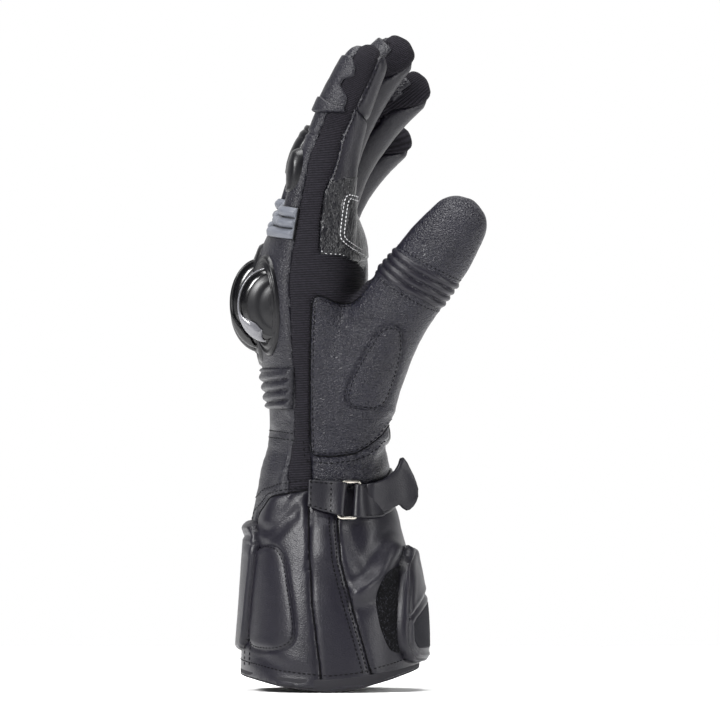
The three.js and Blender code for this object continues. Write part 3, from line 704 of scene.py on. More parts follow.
def folds(rest):
    """Folds, dents and fine wrinkles of the leather, in millimetres outwards."""
    lift = np.zeros(len(rest))
    thumb_side = smoothstep(4, 12, rest[:, 0])
    for line, width, depth in FOLDS:
        distance = line_distance(rest[:, SIDE_VIEW], rounded(line, closed=False))
        lift -= thumb_side * depth * np.exp(-((distance / width) ** 2))
        lift += thumb_side * 0.4 * depth * np.exp(-(((distance - 2 * width) / width) ** 2))
    hand = 0.35 + 0.65 * smoothstep(CUFF_HEIGHT, CUFF_HEIGHT + 20, rest[:, 2])
    lift += hand * (0.22 * waves(rest, 14.0, 3.0) + 0.1 * waves(rest, 4.5, 7.0, (1, 1, 1.8)))
    wrist = np.exp(-(((rest[:, 2] - CUFF_HEIGHT - 8) / 16) ** 2))
    return lift + wrist * 0.5 * waves(rest, 9.0, 11.0, (0.5, 0.5, 2.2))


def seam_groove(distance):
    """Depth of the groove at a seam and the rise of the leather beside it."""
    return -0.8 * np.exp(-((distance / 1.1) ** 2)) + 0.35 * (1 - np.exp(-distance / 3.0))


THUMB_PAD = rounded(on_hand([
    (0.405, 0.572), (0.511, 0.589), (0.594, 0.572), (0.603, 0.504), (0.573, 0.441), (0.531, 0.378),
    (0.468, 0.314), (0.387, 0.285), (0.261, 0.282), (0.15, 0.29), (0.103, 0.323), (0.126, 0.369),
    (0.198, 0.437), (0.261, 0.483), (0.324, 0.526)
]))
CUFF_PAD = rounded(on_cuff([
    (-0.439, 0.691), (-0.385, 0.716), (-0.318, 0.699), (-0.279, 0.631), (-0.255, 0.514), (-0.231, 0.387),
    (-0.223, 0.303), (-0.24, 0.245), (-0.309, 0.21), (-0.405, 0.206), (-0.463, 0.22), (-0.49, 0.269),
    (-0.487, 0.387), (-0.473, 0.531), (-0.458, 0.631)
]))
outward = base.normals()
creases = folds(base.rest)[:, None] * outward
soft = base.rest + creases
near_seam = seam_distance(base, label)
seam_fields = np.min([np.abs(field(base.rest)) for _, field in PANELS], axis=0)
near_seam = np.clip(seam_fields, near_seam - 1.0, near_seam + 0.5)
for outline, reach in ((THUMB_PAD, 10), (CUFF_PAD, 20)):
    shown = base.rest[:, 0] > reach
    near_seam[shown] = np.minimum(near_seam[shown], 1.5 * np.abs(region(outline)(base.rest[shown])))
base.place = soft + seam_groove(near_seam)[:, None] * outward


# Finishes
class Value:
    """A number in a material's nodes, with the usual arithmetic."""

    def __init__(self, finish, socket):
        self.finish = finish
        self.socket = socket

    def maths(self, operation, *others):
        node = self.finish.node("ShaderNodeMath", {"operation": operation})
        for socket, value in zip(node.inputs, (self, *others)):
            self.finish.feed(socket, value)
        return Value(self.finish, node.outputs[0])

    def __add__(self, other):
        return self.maths("ADD", other)

    def __mul__(self, other):
        return self.maths("MULTIPLY", other)

    __rmul__ = __mul__

    def __sub__(self, other):
        return self.maths("SUBTRACT", other)

    def __pow__(self, other):
        return self.maths("POWER", other)

    def sine(self):
        return self.maths("SINE")

    def absolute(self):
        return self.maths("ABSOLUTE")

    def clamped(self):
        node = self.finish.node("ShaderNodeClamp")
        self.finish.feed(node.inputs["Value"], self)
        return Value(self.finish, node.outputs[0])


class Finish:
    """A material built from plain nodes on Object coordinates or a mesh's own attributes."""

    def __init__(self, name, colour, roughness, metallic=0.0, coat=0.0, specular=0.5):
        self.material = bpy.data.materials.new(name)
        self.material.use_nodes = True
        self.tree = self.material.node_tree
        self.shader = self.tree.nodes["Principled BSDF"]
        self.colour = (*colour, 1)
        for key, value in (("Base Color", self.colour), ("Roughness", roughness), ("Metallic", metallic),
                           ("Coat Weight", coat), ("Coat Roughness", 0.08), ("Specular IOR Level", specular)):
            self.shader.inputs[key].default_value = value
        self.place = self.node("ShaderNodeTexCoord").outputs["Object"]

    def node(self, kind, settings=None, inputs=None):
        made = self.tree.nodes.new(kind)
        for key, value in (settings or {}).items():
            setattr(made, key, value)
        for key, value in (inputs or {}).items():
            self.feed(made.inputs[key], value)
        return made

    def feed(self, socket, value):
        source = value.socket if isinstance(value, Value) else value
        if isinstance(source, bpy.types.NodeSocket):
            self.tree.links.new(source, socket)
        else:
            socket.default_value = source

    def stretched(self, stretch):
        node = self.node("ShaderNodeVectorMath", {"operation": "MULTIPLY"})
        self.feed(node.inputs[0], self.place)
        node.inputs[1].default_value = stretch
        return node.outputs[0]

    def noise(self, size, detail=2.0, stretch=(1, 1, 1)):
        node = self.node("ShaderNodeTexNoise", inputs={
            "Vector": self.stretched(stretch), "Scale": 1 / (size * MM), "Detail": detail})
        return Value(self, node.outputs["Fac"])

    def cells(self, size, stretch=(1, 1, 1)):
        """Distance from the borders between uneven cells."""
        node = self.node("ShaderNodeTexVoronoi", {"feature": "DISTANCE_TO_EDGE"}, {
            "Vector": self.stretched(stretch), "Scale": 1 / (size * MM)})
        return Value(self, node.outputs["Distance"])

    def attribute(self, name):
        node = self.node("ShaderNodeAttribute", {"attribute_name": name})
        return Value(self, node.outputs["Fac"])

    def bumped(self, height, depth):
        node = self.node("ShaderNodeBump", inputs={"Height": height, "Distance": depth * MM})
        self.feed(self.shader.inputs["Normal"], node.outputs["Normal"])

    def tinted(self, factor, other):
        mix = self.node("ShaderNodeMix", {"data_type": "RGBA"})
        self.feed(mix.inputs["Factor"], factor.clamped())
        colours = [s for s in mix.inputs if s.type == "RGBA"]
        colours[0].default_value = self.colour
        colours[1].default_value = (*other, 1)
        made = [s for s in mix.outputs if s.type == "RGBA"][0]
        self.feed(self.shader.inputs["Base Color"], made)


def leather(name, colour, roughness, grain=1.4, depth=0.16, crease=0.6, specular=0.22, tint=1.5):
    """Leather: pebbles parted by narrow grooves, and creases across its height."""
    made = Finish(name, colour, roughness, specular=specular)
    pebbles = (made.cells(grain, (1, 1, 1.5)) * 2.2).clamped()
    lines = ((made.noise(3.2, 3.0, (1, 1, 2.2)) - 0.5).absolute() * 9).clamped()
    made.bumped(pebbles + crease * lines, depth)
    made.tinted(made.noise(16.0, 2.0) * 1.6 - 0.3, tuple(c * tint for c in colour))
    return made


def creased_leather():
    """Glossy leather with creases along its height."""
    made = Finish("coarse_leather", (0.003, 0.003, 0.0045), 0.3, specular=0.3)
    lines = ((made.noise(2.6, 3.0, (1, 1, 0.4)) - 0.5).absolute() * 8).clamped()
    made.bumped(lines + 0.35 * (made.cells(1.4) * 2.4).clamped(), 0.26)
    return made


def textile(name, colour, pitch, depth=0.25):
    """Ribbed stretch cloth: fine ribs across the length kept in the attribute along."""
    made = Finish(name, colour, 0.9, specular=0.1)
    turn = made.attribute("along") * (2 * math.pi / pitch)
    rib = (turn.sine() * 0.5 + 0.5) ** 0.6
    made.bumped(rib + 0.35 * made.noise(0.5, 1.0), depth)
    # Painted highlight: the rib crests are lighter, broken up by noise
    made.tinted(rib * made.noise(1.2, 2.0) * 1.4, tuple(c * 4.0 for c in colour))
    return made


def pile(name, colour):
    """The rough pile of a hook fastener."""
    made = Finish(name, colour, 1.0, specular=0.1)
    loops = made.noise(0.8, 3.0)
    made.bumped(loops, 1.4)
    # Painted glints: the loop tops are lighter than the pile between them
    made.tinted((loops - 0.55) * 9, tuple(c * 9 for c in colour))
    return made


def grey_ribs():
    """Grey leather ribs with dark valleys of painted shade, read from each corner's depth."""
    made = Finish("grey_rib_leather", (0.075, 0.08, 0.095), 0.45, specular=0.3)
    made.bumped(made.cells(1.0), 0.05)
    # Painted shade: the valleys and low edges are darkened towards near black by their depth
    made.tinted(made.attribute("painted_valley_shade") * 1.6 + 2.1, (0.006, 0.006, 0.007))
    return made


# Leathers: colour, roughness, size and depth of the grain, strength of the creases, and gloss
FINISHES = {
    "leather": leather("black_leather", (0.0042, 0.004, 0.0068), 0.43, specular=0.27),
    "palm": leather("palm_leather", (0.0042, 0.004, 0.0074), 0.36, 1.5, 0.3, 0.7, 0.25),
    "finger": leather("finger_leather", (0.003, 0.0026, 0.0052), 0.4, 1.2, 0.08, 0.4, 0.24),
    "cuff": leather("smooth_cuff_leather", (0.0048, 0.0044, 0.0072), 0.4, 1.2, 0.05, 0.3, 0.24),
    "grain": creased_leather(),
    "textile": textile("ribbed_textile", (0.0036, 0.0033, 0.0044), 1.1),
    "grey": grey_ribs(),
    "shell": Finish("gloss_shell", (0.002, 0.002, 0.0025), 0.2, coat=0.2, specular=0.3),
    # A pale grey edge standing in for the bright crescent on the knuckle: painted highlight
    "highlight_rim": Finish("painted_highlight_rim", (0.09, 0.09, 0.1), 0.22, coat=0.4),
    "rubber": Finish("satin_rubber", (0.003, 0.003, 0.004), 0.34, specular=0.25),
    "pile": pile("hook_pile", (0.002, 0.002, 0.0025)),
    "thread": Finish("black_thread", (0.0012, 0.0012, 0.0015), 0.8, specular=0.1),
    "white_thread": Finish("white_thread", (0.4, 0.4, 0.41), 0.7),
    "metal": Finish("pale_metal", (0.5, 0.47, 0.42), 0.3, metallic=1.0),
    "binding": Finish("hem_binding", (0.011, 0.0105, 0.013), 0.8, specular=0.2),
    "strap": leather("strap_leather_finish", (0.0048, 0.0045, 0.0068), 0.42, 1.2, 0.035, 0.3, 0.22, 1.3),
    "mesh": textile("woven_mesh", (0.004, 0.004, 0.005), 1.8, 0.5),
}
FINISHES = {name: made.material for name, made in FINISHES.items()}


def finished(made, slot, *nodes):
    """A piece that rides on the glove and hides the solids that it stands for."""
    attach(made, "root")
    if nodes:
        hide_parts(*nodes)
    return made


def with_attribute(made, name, values):
    made.data.attributes.new(name, "FLOAT", "POINT").data.foreach_set("value", values)


def length_up(rest):
    """Height, slanted more and more over the fingertips: the cloth's ribs follow it."""
    slant = 0.05 + 0.65 * smoothstep(235, 280, rest[:, 2])
    return rest[:, 2] - slant * (rest[:, 1] - 0.45 * (rest[:, 2] - 260))


# Panels: finish, slot and the solids that they stand for
PANEL_FINISH = {
    "finger_palm_leather": ("finger", "palm_leather", []),
    "tip_leather": ("finger", "palm_leather", []),
    "cuff_back_leather": ("cuff", "leather", ["cuff_back_panel"]),
    "cuff_front_leather": ("cuff", "leather", []),
    "cuff_palm_leather": ("cuff", "leather", ["cuff_palm_panel"]),
    "thumb_leather_skin": ("palm", "palm_leather", ["thumb_leather"]),
    "side_textile": ("textile", "stretch_textile", ["thumb_side_stretch_panel"]),
    "outer_textile": ("textile", "stretch_textile", ["outer_side_stretch_panel"]),
    "finger_textile": ("textile", "stretch_textile", []),
    "back_leather": ("leather", "leather", ["hand_back_panel", "index_finger", "middle_finger",
                                            "ring_finger", "little_finger"]),
    "palm_leather": ("palm", "palm_leather", ["palm_panel"]),
}
for number, name in enumerate([name for name, _ in PANELS] + [LAST_PANEL]):
    finish, slot, nodes = PANEL_FINISH[name]
    panel = base.part(label == number)
    made = panel.made(name, finish)
    if finish == "textile":
        with_attribute(made, "along", length_up(panel.rest))
    wall = made.modifiers.new("wall", "SOLIDIFY")
    wall.thickness = 0.4 * LEATHER * MM
    wall.offset = -1
    finished(made, slot, *nodes)


def solid(name, place, faces, finish):
    """A closed smooth piece, its faces turned outwards."""
    place = np.asarray(place, float)
    volume = 0.0
    for face in faces:
        for b, c in zip(face[1:-1], face[2:]):
            volume += np.dot(place[face[0]], np.cross(place[b], place[c]))
    faces = [[int(i) for i in (face if volume > 0 else face[::-1])] for face in faces]
    return smooth_object(name, place, faces, finish)


def lofted(name, sections, finish, closed=False):
    """A solid through sections of points, closed in a ring or by flat ends."""
    rows, sides = sections.shape[:2]
    faces = []
    for r in range(rows if closed else rows - 1):
        n = (r + 1) % rows
        for i in range(sides):
            j = (i + 1) % sides
            faces.append((r * sides + i, n * sides + i, n * sides + j, r * sides + j))
    if not closed:
        faces += [list(range(sides)), [(rows - 1) * sides + i for i in range(sides)][::-1]]
    return solid(name, sections.reshape(-1, 3), faces, finish)


# Pieces that lie on the skin
PATCH_MARGIN = 2.5  # how far beyond its outline a piece's faces are taken


def patch(field, times):
    """The part of the skin inside a field, with a finer mesh that ends on the outline."""
    piece = Skin(soft, base.quads, base.rest)
    piece = piece.part(np.all(field(piece.rest)[piece.quads] > -PATCH_MARGIN, axis=1))
    for _ in range(times):
        piece = piece.refined()
    piece.snapped(field)
    return piece.part(field(piece.rest)[piece.quads].mean(axis=1) > 0)


def raised(name, field, height, finish, slot, nodes, edge=1.5, times=1, shape=None, puffed=False):
    """A piece that lies on the skin, its rounded edge sunk into it, or rising slowly if puffed."""
    piece = patch(field, times)
    distance = np.clip(field(piece.rest) / edge, 0, 1)
    lift = -0.35 + (0.65 + height) * np.sqrt(1 - (1 - distance) ** 2)
    if puffed:
        lift = -0.45 + (0.75 + height) * (1 - np.exp(-np.maximum(field(piece.rest), 0) / 1.1))
    if shape is not None:
        lift += shape(piece.rest) * smoothstep(0, 1, distance)
    piece.place = piece.place + piece.normals() * lift[:, None]
    made = piece.made(name, finish)
    # The depth below the rib tops, kept for the painted shade in the grey ribs' valleys
    if finish == "grey":
        with_attribute(made, "painted_valley_shade", np.clip(-lift, -2, 2))
    finished(made, slot, *nodes)
    return piece, made


def ribbed(pitch, height, along):
    """Round ribs across a length, with narrow valleys."""

    def shape(rest):
        turn = along(rest) / pitch * math.pi
        return height * np.abs(np.sin(turn)) ** 0.7 - height

    return shape


HOOK_PATCH = rounded(on_cuff([
    (0.37, 0.616), (0.281, 0.582), (0.235, 0.514), (0.23, 0.43), (0.242, 0.345), (0.273, 0.261),
    (0.312, 0.202), (0.38, 0.186), (0.5, 0.2), (0.5, 0.6)
]))
thumb_pad, made = raised("thumb_pad", both(region(THUMB_PAD), beyond(0, 10)), 0.5, "palm",
                         "palm_leather", ["thumb_base_pad"], puffed=True)
cuff_pad, made = raised("cuff_pad", both(region(CUFF_PAD), beyond(0, 20)), 0.45, "cuff",
                        "leather", ["cuff_side_pad"], puffed=True)
raised("hook_patch_pile", both(region(HOOK_PATCH), beyond(0, 12)), 0.8, "pile",
       "hook_fastener", ["hook_patch"], edge=1.0)


def finger_band(name, share_from, share_to, angle_from, angle_to):
    """A band round the back of a finger; the index finger's stops at the textile."""
    band = digit_band(name, share_from, share_to, angle_from, angle_to)
    return both(band, region(left_of(BACK_SEAM))) if name == "index" else band


# Ribs: grey ones at the finger roots, and leather ones at the wrist and on the thumb
RIBS_FROM = {"index": 0.03, "middle": 0.05, "ring": 0.045, "little": 0.03}
FINGER_RIB_PITCH = 4.6
for name in FINGER_NAMES:
    digit = DIGITS[name]
    start = RIBS_FROM[name]
    end = start + 3 * FINGER_RIB_PITCH / digit.length

    def along_finger(rest, digit=digit, start=start):
        return (digit.coordinates(rest)[0] - start) * digit.length

    raised(name + "_grey_ribs", finger_band(name, start, end, -163, -17), 2.2, "grey", "grey_ribs",
           [name + "_ribs"], edge=1.2, times=2, shape=ribbed(FINGER_RIB_PITCH, 2.2, along_finger))

WRIST_RIBS = [(-60, 126.5), (-18.6, 126.5), (-18.2, 145.2), (-60, 145.2)]


def along_wrist(rest):
    """Height above the wrist ribs' lower edge, which slopes."""
    return rest[:, 2] - 126.5 - 0.12 * (rest[:, 1] + 18)


raised("wrist_leather_ribs", both(region(WRIST_RIBS), beyond(0, -0.36 * KNUCKLE_WIDTH)), 2.4, "leather",
       "leather", ["wrist_ribs"], edge=2.5, shape=ribbed(4.6, 2.0, along_wrist))
THUMB_RIBS_FROM = 0.621
THUMB_RIB_PITCH = 3.25
thumb = DIGITS["thumb"]


def along_thumb(rest):
    """Length along the thumb from its ribs, slanted as they are."""
    share, side, front = thumb.coordinates(rest)
    return (share - THUMB_RIBS_FROM) * thumb.length - 2.1 * front


def thumb_rib_field(rest):
    """Positive between the first and the last of the thumb's four ribs."""
    along = along_thumb(rest)
    ends = np.minimum(along, 4 * THUMB_RIB_PITCH - along)
    return np.minimum(ends, digit_band("thumb", 0.5, 0.85, -128, 128)(rest))


raised("thumb_leather_ribs", thumb_rib_field, 0.9, "cuff", "palm_leather", ["thumb_ribs"], edge=1.4,
       times=2, shape=ribbed(THUMB_RIB_PITCH, 1.3, along_thumb))

# Finger sliders, tip guards and the band below the index finger's guard
INDEX_SLIDER = rounded(view_points([
    (300, 146), (285, 146), (265, 170), (270, 192), (288, 194), (296, 189), (301, 178), (304, 163),
    (303.5, 151)
]))
for name in FINGER_NAMES:
    digit = DIGITS[name]

    def hump(rest, digit=digit):
        share, side, front = digit.coordinates(rest)
        middle = np.clip(1 - ((share - 0.38) / 0.12) ** 2, 0, 1)
        return 2.4 * middle * np.clip(1 - (side / 0.7) ** 2, 0, 1) ** 0.5

    field = finger_band(name, 0.265, 0.49, -150, -48)
    if name == "index":
        field = both(region(INDEX_SLIDER), digit_band(name, 0.15, 0.6, -150, 0))
    raised(name + "_slider", field, 1.3, "rubber", "armour_rubber",
           [name + "_finger_slider"], edge=1.8, shape=hump)


def zigzag(digit):
    """The tip guard's cut edge, stepped along the finger."""

    def field(rest):
        share, side, front = digit.coordinates(rest)
        step = 0.22 * np.sign(np.sin((share - 0.69) * 2 * math.pi / 0.12))
        along = np.minimum(share - 0.66, 0.93 - share) * digit.length
        return np.minimum(along, 6 * (-front - 0.1 + step * 0.5))

    return field


INDEX_GUARD = view_points([
    (342, 57), (352, 58), (356.5, 70), (355, 79), (344, 82), (341, 87), (348, 99), (347, 105), (344, 113),
    (300, 113), (300, 57)
])
INDEX_BAND = view_points([
    (300, 98), (324, 99), (330, 104), (337, 107), (345, 108), (345, 114.5), (300, 114.5)
])
for name in FINGER_NAMES:
    field = both(zigzag(DIGITS[name]), digit_band(name, 0.64, 0.95, -175, -5))
    if name == "index":
        field = both(region(INDEX_GUARD), digit_band(name, 0.5, 1.1, -220, 60))
    raised(name + "_guard", field, 1.0, "leather", "leather", [name + "_tip_guard"], edge=1.0)
raised("index_band", both(region(INDEX_BAND), digit_band("index", 0.5, 1.1, -220, 60)), 1.9, "leather",
       "leather", [], edge=0.8, times=2)

# Knuckle guard: a moulded base with ridges round each knuckle, and a dome on each
KNUCKLES = [
    ("index", 31.5, -29.5, 173.0, 10.5, 13.0, 16.0),
    ("middle", 11.0, -33.0, 174.0, 10.5, 13.2, 19.4),
    ("ring", -11.0, -32.0, 171.0, 10.5, 14.0, 18.5),
    ("little", -31.0, -27.5, 164.0, 9.5, 12.0, 15.0),
]


def knuckle_gap(rest):
    """Distance from the nearest knuckle's dome, measured on the back of the hand."""
    best = np.full(len(rest), 1e9)
    for _, x, y, z, half_x, half_y, half_z in KNUCKLES:
        across = np.hypot((rest[:, 0] - x) / (half_x + 1.0), (rest[:, 2] - z) / (half_z + 2.0))
        deep = np.maximum(rest[:, 1] - y, 0) / 7.5
        best = np.minimum(best, (np.hypot(across, deep) - 1) * 12)
    return best


def moulded_field(rest):
    """Positive close round the knuckle shells."""
    return 3.3 - knuckle_gap(rest)


def moulded_ridges(rest):
    """Ridges that follow the knuckle shells."""
    return 0.5 * np.cos(np.clip(knuckle_gap(rest), -4, 6) * 2 * math.pi / 2.2)


raised("knuckle_moulding", both(moulded_field, beyond(1, -17, -1)), 1.2, "rubber", "armour_rubber",
       ["knuckle_base"], edge=1.5, shape=moulded_ridges)


# A knuckle shell from its thumb side to its crown: shares of its radius and of its half width
SHELL_STEPS = [
    (0.3, 0.98), (0.6, 0.95), (0.64, 0.875), (0.68, 0.88), (0.8, 0.83), (0.835, 0.75), (0.87, 0.75),
    (0.94, 0.66), (0.97, 0.57), (1.0, 0.5), (1.02, 0.4), (1.037, 0.2), (1.042, 0.0)
]
STEP_SHIFT = 12.7  # how far a smaller step moves towards the palm
for name, x, y, z, half_x, half_y, half_z in KNUCKLES:
    def at_step(reach, wide, turn):
        """A point of the shell: its radius and width as shares, and the angle round its thumb side."""
        return (x + half_x * wide, y + STEP_SHIFT * (1 - reach) + half_y * reach * math.cos(turn),
                z + half_z * reach * math.sin(turn))

    steps = SHELL_STEPS + [(reach, -wide) for reach, wide in SHELL_STEPS[-2::-1]]
    rings = [[at_step(reach, wide, 2 * math.pi * k / 72) for k in range(72)] for reach, wide in steps]
    shell = solid(name + "_knuckle_dome", *tube(np.array(rings)), "shell")
    shell.data.materials.append(FINISHES["rubber"])
    for face in shell.data.polygons:
        ring = min(face.vertices) // 72
        face.material_index = int(min(ring, len(rings) - 2 - ring) < 6 or len(face.vertices) == 3)
    finished(shell, "hard_shell", name + "_knuckle_shell")
    lip = []
    swell = 0.16 if name == "index" else 0.08
    for degrees in np.linspace(96, 266, 60):
        wide = 0.03 + swell * smoothstep(186, 222, degrees) * (1 - smoothstep(236, 266, degrees))
        low = np.interp(1 - wide, [0.68, 0.8, 0.94, 1.0], [0.88, 0.83, 0.66, 0.5])
        share = 0.3 + 0.7 * smoothstep(180, 220, degrees) * (1 - 0.8 * smoothstep(240, 266, degrees))
        section = np.array([
            (1.045, 0.42), (1.04, 0.52), (1.0, 0.6), (1 - wide, low + 0.05), (1 - wide, low - 0.06)
        ])
        section = section[1] + share * (section - section[1])
        lip.append([at_step(reach, across, math.radians(degrees)) for reach, across in section])
    # Only the index's edge takes the pale finish, as a painted highlight; the other edges take the dark shell
    finish = "highlight_rim" if name == "index" else "shell"
    finished(lofted(name + "_shield_edge", np.array(lip), finish), "hard_shell")


def wire(name, path, radius, finish, sides=8):
    """A round wire along a closed path."""
    path = np.asarray(path, float)
    along = np.roll(path, -1, axis=0) - np.roll(path, 1, axis=0)
    along /= np.linalg.norm(along, axis=1, keepdims=True)
    last = np.array([0.31, 0.2, 0.93])
    up = []
    for direction in along:
        last = last - direction * (last @ direction)
        last /= np.linalg.norm(last)
        up.append(last)
    across = np.cross(along, up)
    turn = (2 * np.pi * np.arange(sides) / sides)[None, :, None]
    rings = path[:, None] + radius * (np.cos(turn) * across[:, None] + np.sin(turn) * np.array(up)[:, None])
    return lofted(name, rings, finish, closed=True)


# The body's surface as an angle round it (0 towards the thumb, 90 at the palm) and a height
def on_body(degrees, height, offset=0.0):
    """A point of the body's surface, moved outwards by an offset."""
    degrees, height, offset = np.broadcast_arrays(
        np.asarray(degrees, float), np.asarray(height, float), np.asarray(offset, float))
    turn = np.radians(degrees)
    half_x = spline(height, BODY_HEIGHTS, BODY_WIDTHS) / 2
    half_y = spline(height, BODY_HEIGHTS, BODY_DEPTHS) / 2
    x = half_x * power(np.cos(turn), 2 / SQUARENESS)
    y = half_y * power(np.sin(turn), 2 / SQUARENESS)
    normal_x = power(np.cos(turn), 2 - 2 / SQUARENESS) / half_x
    normal_y = power(np.sin(turn), 2 - 2 / SQUARENESS) / half_y
    size = np.maximum(np.hypot(normal_x, normal_y), 1e-9)
    x = x + offset * normal_x / size
    y = y + spline(height, BODY_HEIGHTS, BODY_MIDDLES) + offset * normal_y / size
    return np.stack([x, y, height], axis=-1)


# The strap's middle line: angle round the wrist and height
STRAP_LINE = np.array([
    (-25, 91.0), (-9, 89.1), (6, 86.9), (22, 85.6), (37, 85.6), (59, 87.8), (80, 91.0), (120, 93.0),
    (178, 93.0)
])
RING_ANGLE = 16
BAR_ANGLE = 6.8  # from the ring's middle to each of its upright bars
WIRE = 1.6
FOLD = 1.2  # thickness of the strap
DEGREE = 0.51  # length of a degree round the wrist at the ring
STRAP_LOW = 1.1  # the strap's lower layer above the wrist
WIRE_OFFSET = STRAP_LOW + FOLD / 2 + WIRE / 2
# The strap's section with its sewn edges: across it, and through it
STRAP_ACROSS = np.array([-1, -0.97, -0.88, -0.5, 0, 0.5, 0.88, 0.97, 1, 0.97, 0.86, 0, -0.86, -0.97])
STRAP_THROUGH = np.array([0, 0.38, 0.5, 0.4, 0.38, 0.4, 0.5, 0.38, 0, -0.38, -0.5, -0.5, -0.5, -0.38])


def strap_middle(degrees):
    return spline(degrees, STRAP_LINE[:, 0], STRAP_LINE[:, 1])


def strap_place(degrees, across, offset):
    """A point on the strap; it narrows towards its anchor, and the ring leans it over."""
    half = STRAP_HEIGHT / 2 * (0.8 + 0.2 * smoothstep(-12, 8, degrees))
    lean = 2.2 * across * np.exp(-(((degrees - RING_ANGLE) / 9) ** 2))
    return on_body(degrees + lean, strap_middle(degrees) + across * half, offset)


# The anchor and the strap are each doubled round an upright bar of the ring
for name, nodes, bar, way, low_end, top_end in (
        ("strap_loop", ["strap_anchor"], RING_ANGLE - BAR_ANGLE, 1, -10, -10),
        ("strap_leather", ["wrist_strap"], RING_ANGLE + BAR_ANGLE, -1, 178, 46)):
    lower = np.arange(low_end, bar, 4.0 * way)
    path = [(a, STRAP_LOW - 1.4 * smoothstep(168, 178, a)) for a in lower] + [(bar, STRAP_LOW)]
    fold = (WIRE + FOLD) / 2
    for degrees in (-60, -30, 0, 30, 60, 90):
        turn = math.radians(degrees)
        path.append((bar + way * fold / DEGREE * math.cos(turn), WIRE_OFFSET + fold * math.sin(turn)))
    path += [(a, WIRE_OFFSET + fold - 1.5 * smoothstep(0, 10, abs(a - bar)))
             for a in np.linspace(bar, top_end, 14)[1:]]
    path = np.array(path)
    spread = np.gradient(path[:, 0]) * DEGREE
    lift = np.gradient(path[:, 1])
    size = np.hypot(spread, lift)
    spread, lift = spread / size, lift / size
    rows = []
    for (degrees, offset), s, l in zip(path, spread, lift):
        out = STRAP_THROUGH * FOLD * -way
        rows.append(strap_place(degrees - l * out / DEGREE, STRAP_ACROSS, offset + s * out))
    finished(lofted(name, np.array(rows), "strap"), "leather", *nodes)

# The strap's end: a plate that leaves the wrist; its places along the view, its top and its bottom
TAB = [
    (366, 483, 516.5), (374, 481.5, 514.5), (381.5, 479, 511.5), (388, 474.5, 508.5), (394, 469, 506),
    (397.2, 463.5, 504.3), (399, 457.5, 505.3), (401.5, 456.8, 508), (405, 461, 510), (408.5, 467.5, 509.3),
    (412, 474.5, 506), (414.6, 481.5, 501.5), (416.3, 488, 496)
]
tab_at = np.array(TAB)
tab_y = (tab_at[:, 0] - ORIGIN_COLUMN) * FRAME_STEP
tab_x = np.interp(tab_at[:, 0], [366, 381.5, 394, 405, 416.5], [35.6, 31.5, 28.0, 25.4, 23.6])
tab_thick = 1.4 + 1.2 * smoothstep(386, 390, tab_at[:, 0])
tab_normal = np.stack([np.gradient(tab_y), -np.gradient(tab_x)], axis=1)
tab_normal /= np.linalg.norm(tab_normal, axis=1, keepdims=True)
tab_rows = []
for k, (_, top, bottom) in enumerate(TAB):
    middle = (ORIGIN_ROW - (top + bottom) / 2) * FRAME_STEP
    half = (bottom - top) / 2 * FRAME_STEP
    out = (STRAP_THROUGH + 0.5) * tab_thick[k]
    tab_rows.append(np.stack([tab_x[k] + tab_normal[k, 0] * out, tab_y[k] + tab_normal[k, 1] * out,
                              middle + STRAP_ACROSS * half], axis=1))
finished(lofted("strap_tab", np.array(tab_rows), "strap"), "armour_rubber", "strap_end_tab")

# Wire ring with round corners
corner = 1.5
half_height = STRAP_HEIGHT / 2 - 0.6
ring_z = strap_middle(RING_ANGLE)
bar_a, bar_b = (on_body(RING_ANGLE + way * BAR_ANGLE, ring_z, WIRE_OFFSET) for way in (-1, 1))
across_ring = (bar_b - bar_a) / np.linalg.norm(bar_b - bar_a)
up_ring = (on_body(RING_ANGLE + 2.4, ring_z + 8, WIRE_OFFSET)
           - on_body(RING_ANGLE - 2.4, ring_z - 8, WIRE_OFFSET))
up_ring /= np.linalg.norm(up_ring)
half_length = np.linalg.norm(bar_b - bar_a) / 2 - corner
ring_path = []
for quarter, (sx, sz) in enumerate([(1, 1), (-1, 1), (-1, -1), (1, -1)]):
    for degrees in (0, 22, 45, 67, 90):
        turn = math.radians(90 * quarter + degrees)
        middle = (bar_a + bar_b) / 2 + across_ring * sx * half_length + up_ring * sz * half_height
        ring_path.append(middle + corner * (across_ring * math.cos(turn) + up_ring * math.sin(turn)))
finished(wire("wire_ring", ring_path, WIRE / 2, "metal"), "wire_metal", "buckle_ring")

# Cuff flap on the palm side: a padded plate with a rolled edge, standing on the cuff
FLAP = across_cuff([(-0.47, 0.17), (0.4, 0.13), (0.4, 0.72), (-0.42, 0.66)])
FLAP_SIDE = rounded(view_points([
    (406, 541), (399, 560), (395, 608), (395, 638), (400, 652), (412, 662), (470, 662), (470, 541)
]))
FLAP_GROOVES = [view_points(line) for line in (
    [(410, 541), (404, 560), (400.5, 608), (400.5, 640), (405, 652), (411, 657), (440, 657)],
    [(436, 545), (423, 578), (413, 600), (401, 617)])]


def flap_shape(rest):
    """The flap's sewn edge strip and its slanting welt."""
    flat = rest[:, SIDE_VIEW]
    lift = 0.3 * waves(rest, 16.0, 4.0)
    for line in FLAP_GROOVES:
        distance = line_distance(flat, rounded(line, False))
        lift += 0.25 * np.exp(-(((distance - 1.4) / 0.8) ** 2)) - 0.7 * np.exp(-((distance / 0.55) ** 2))
    return lift


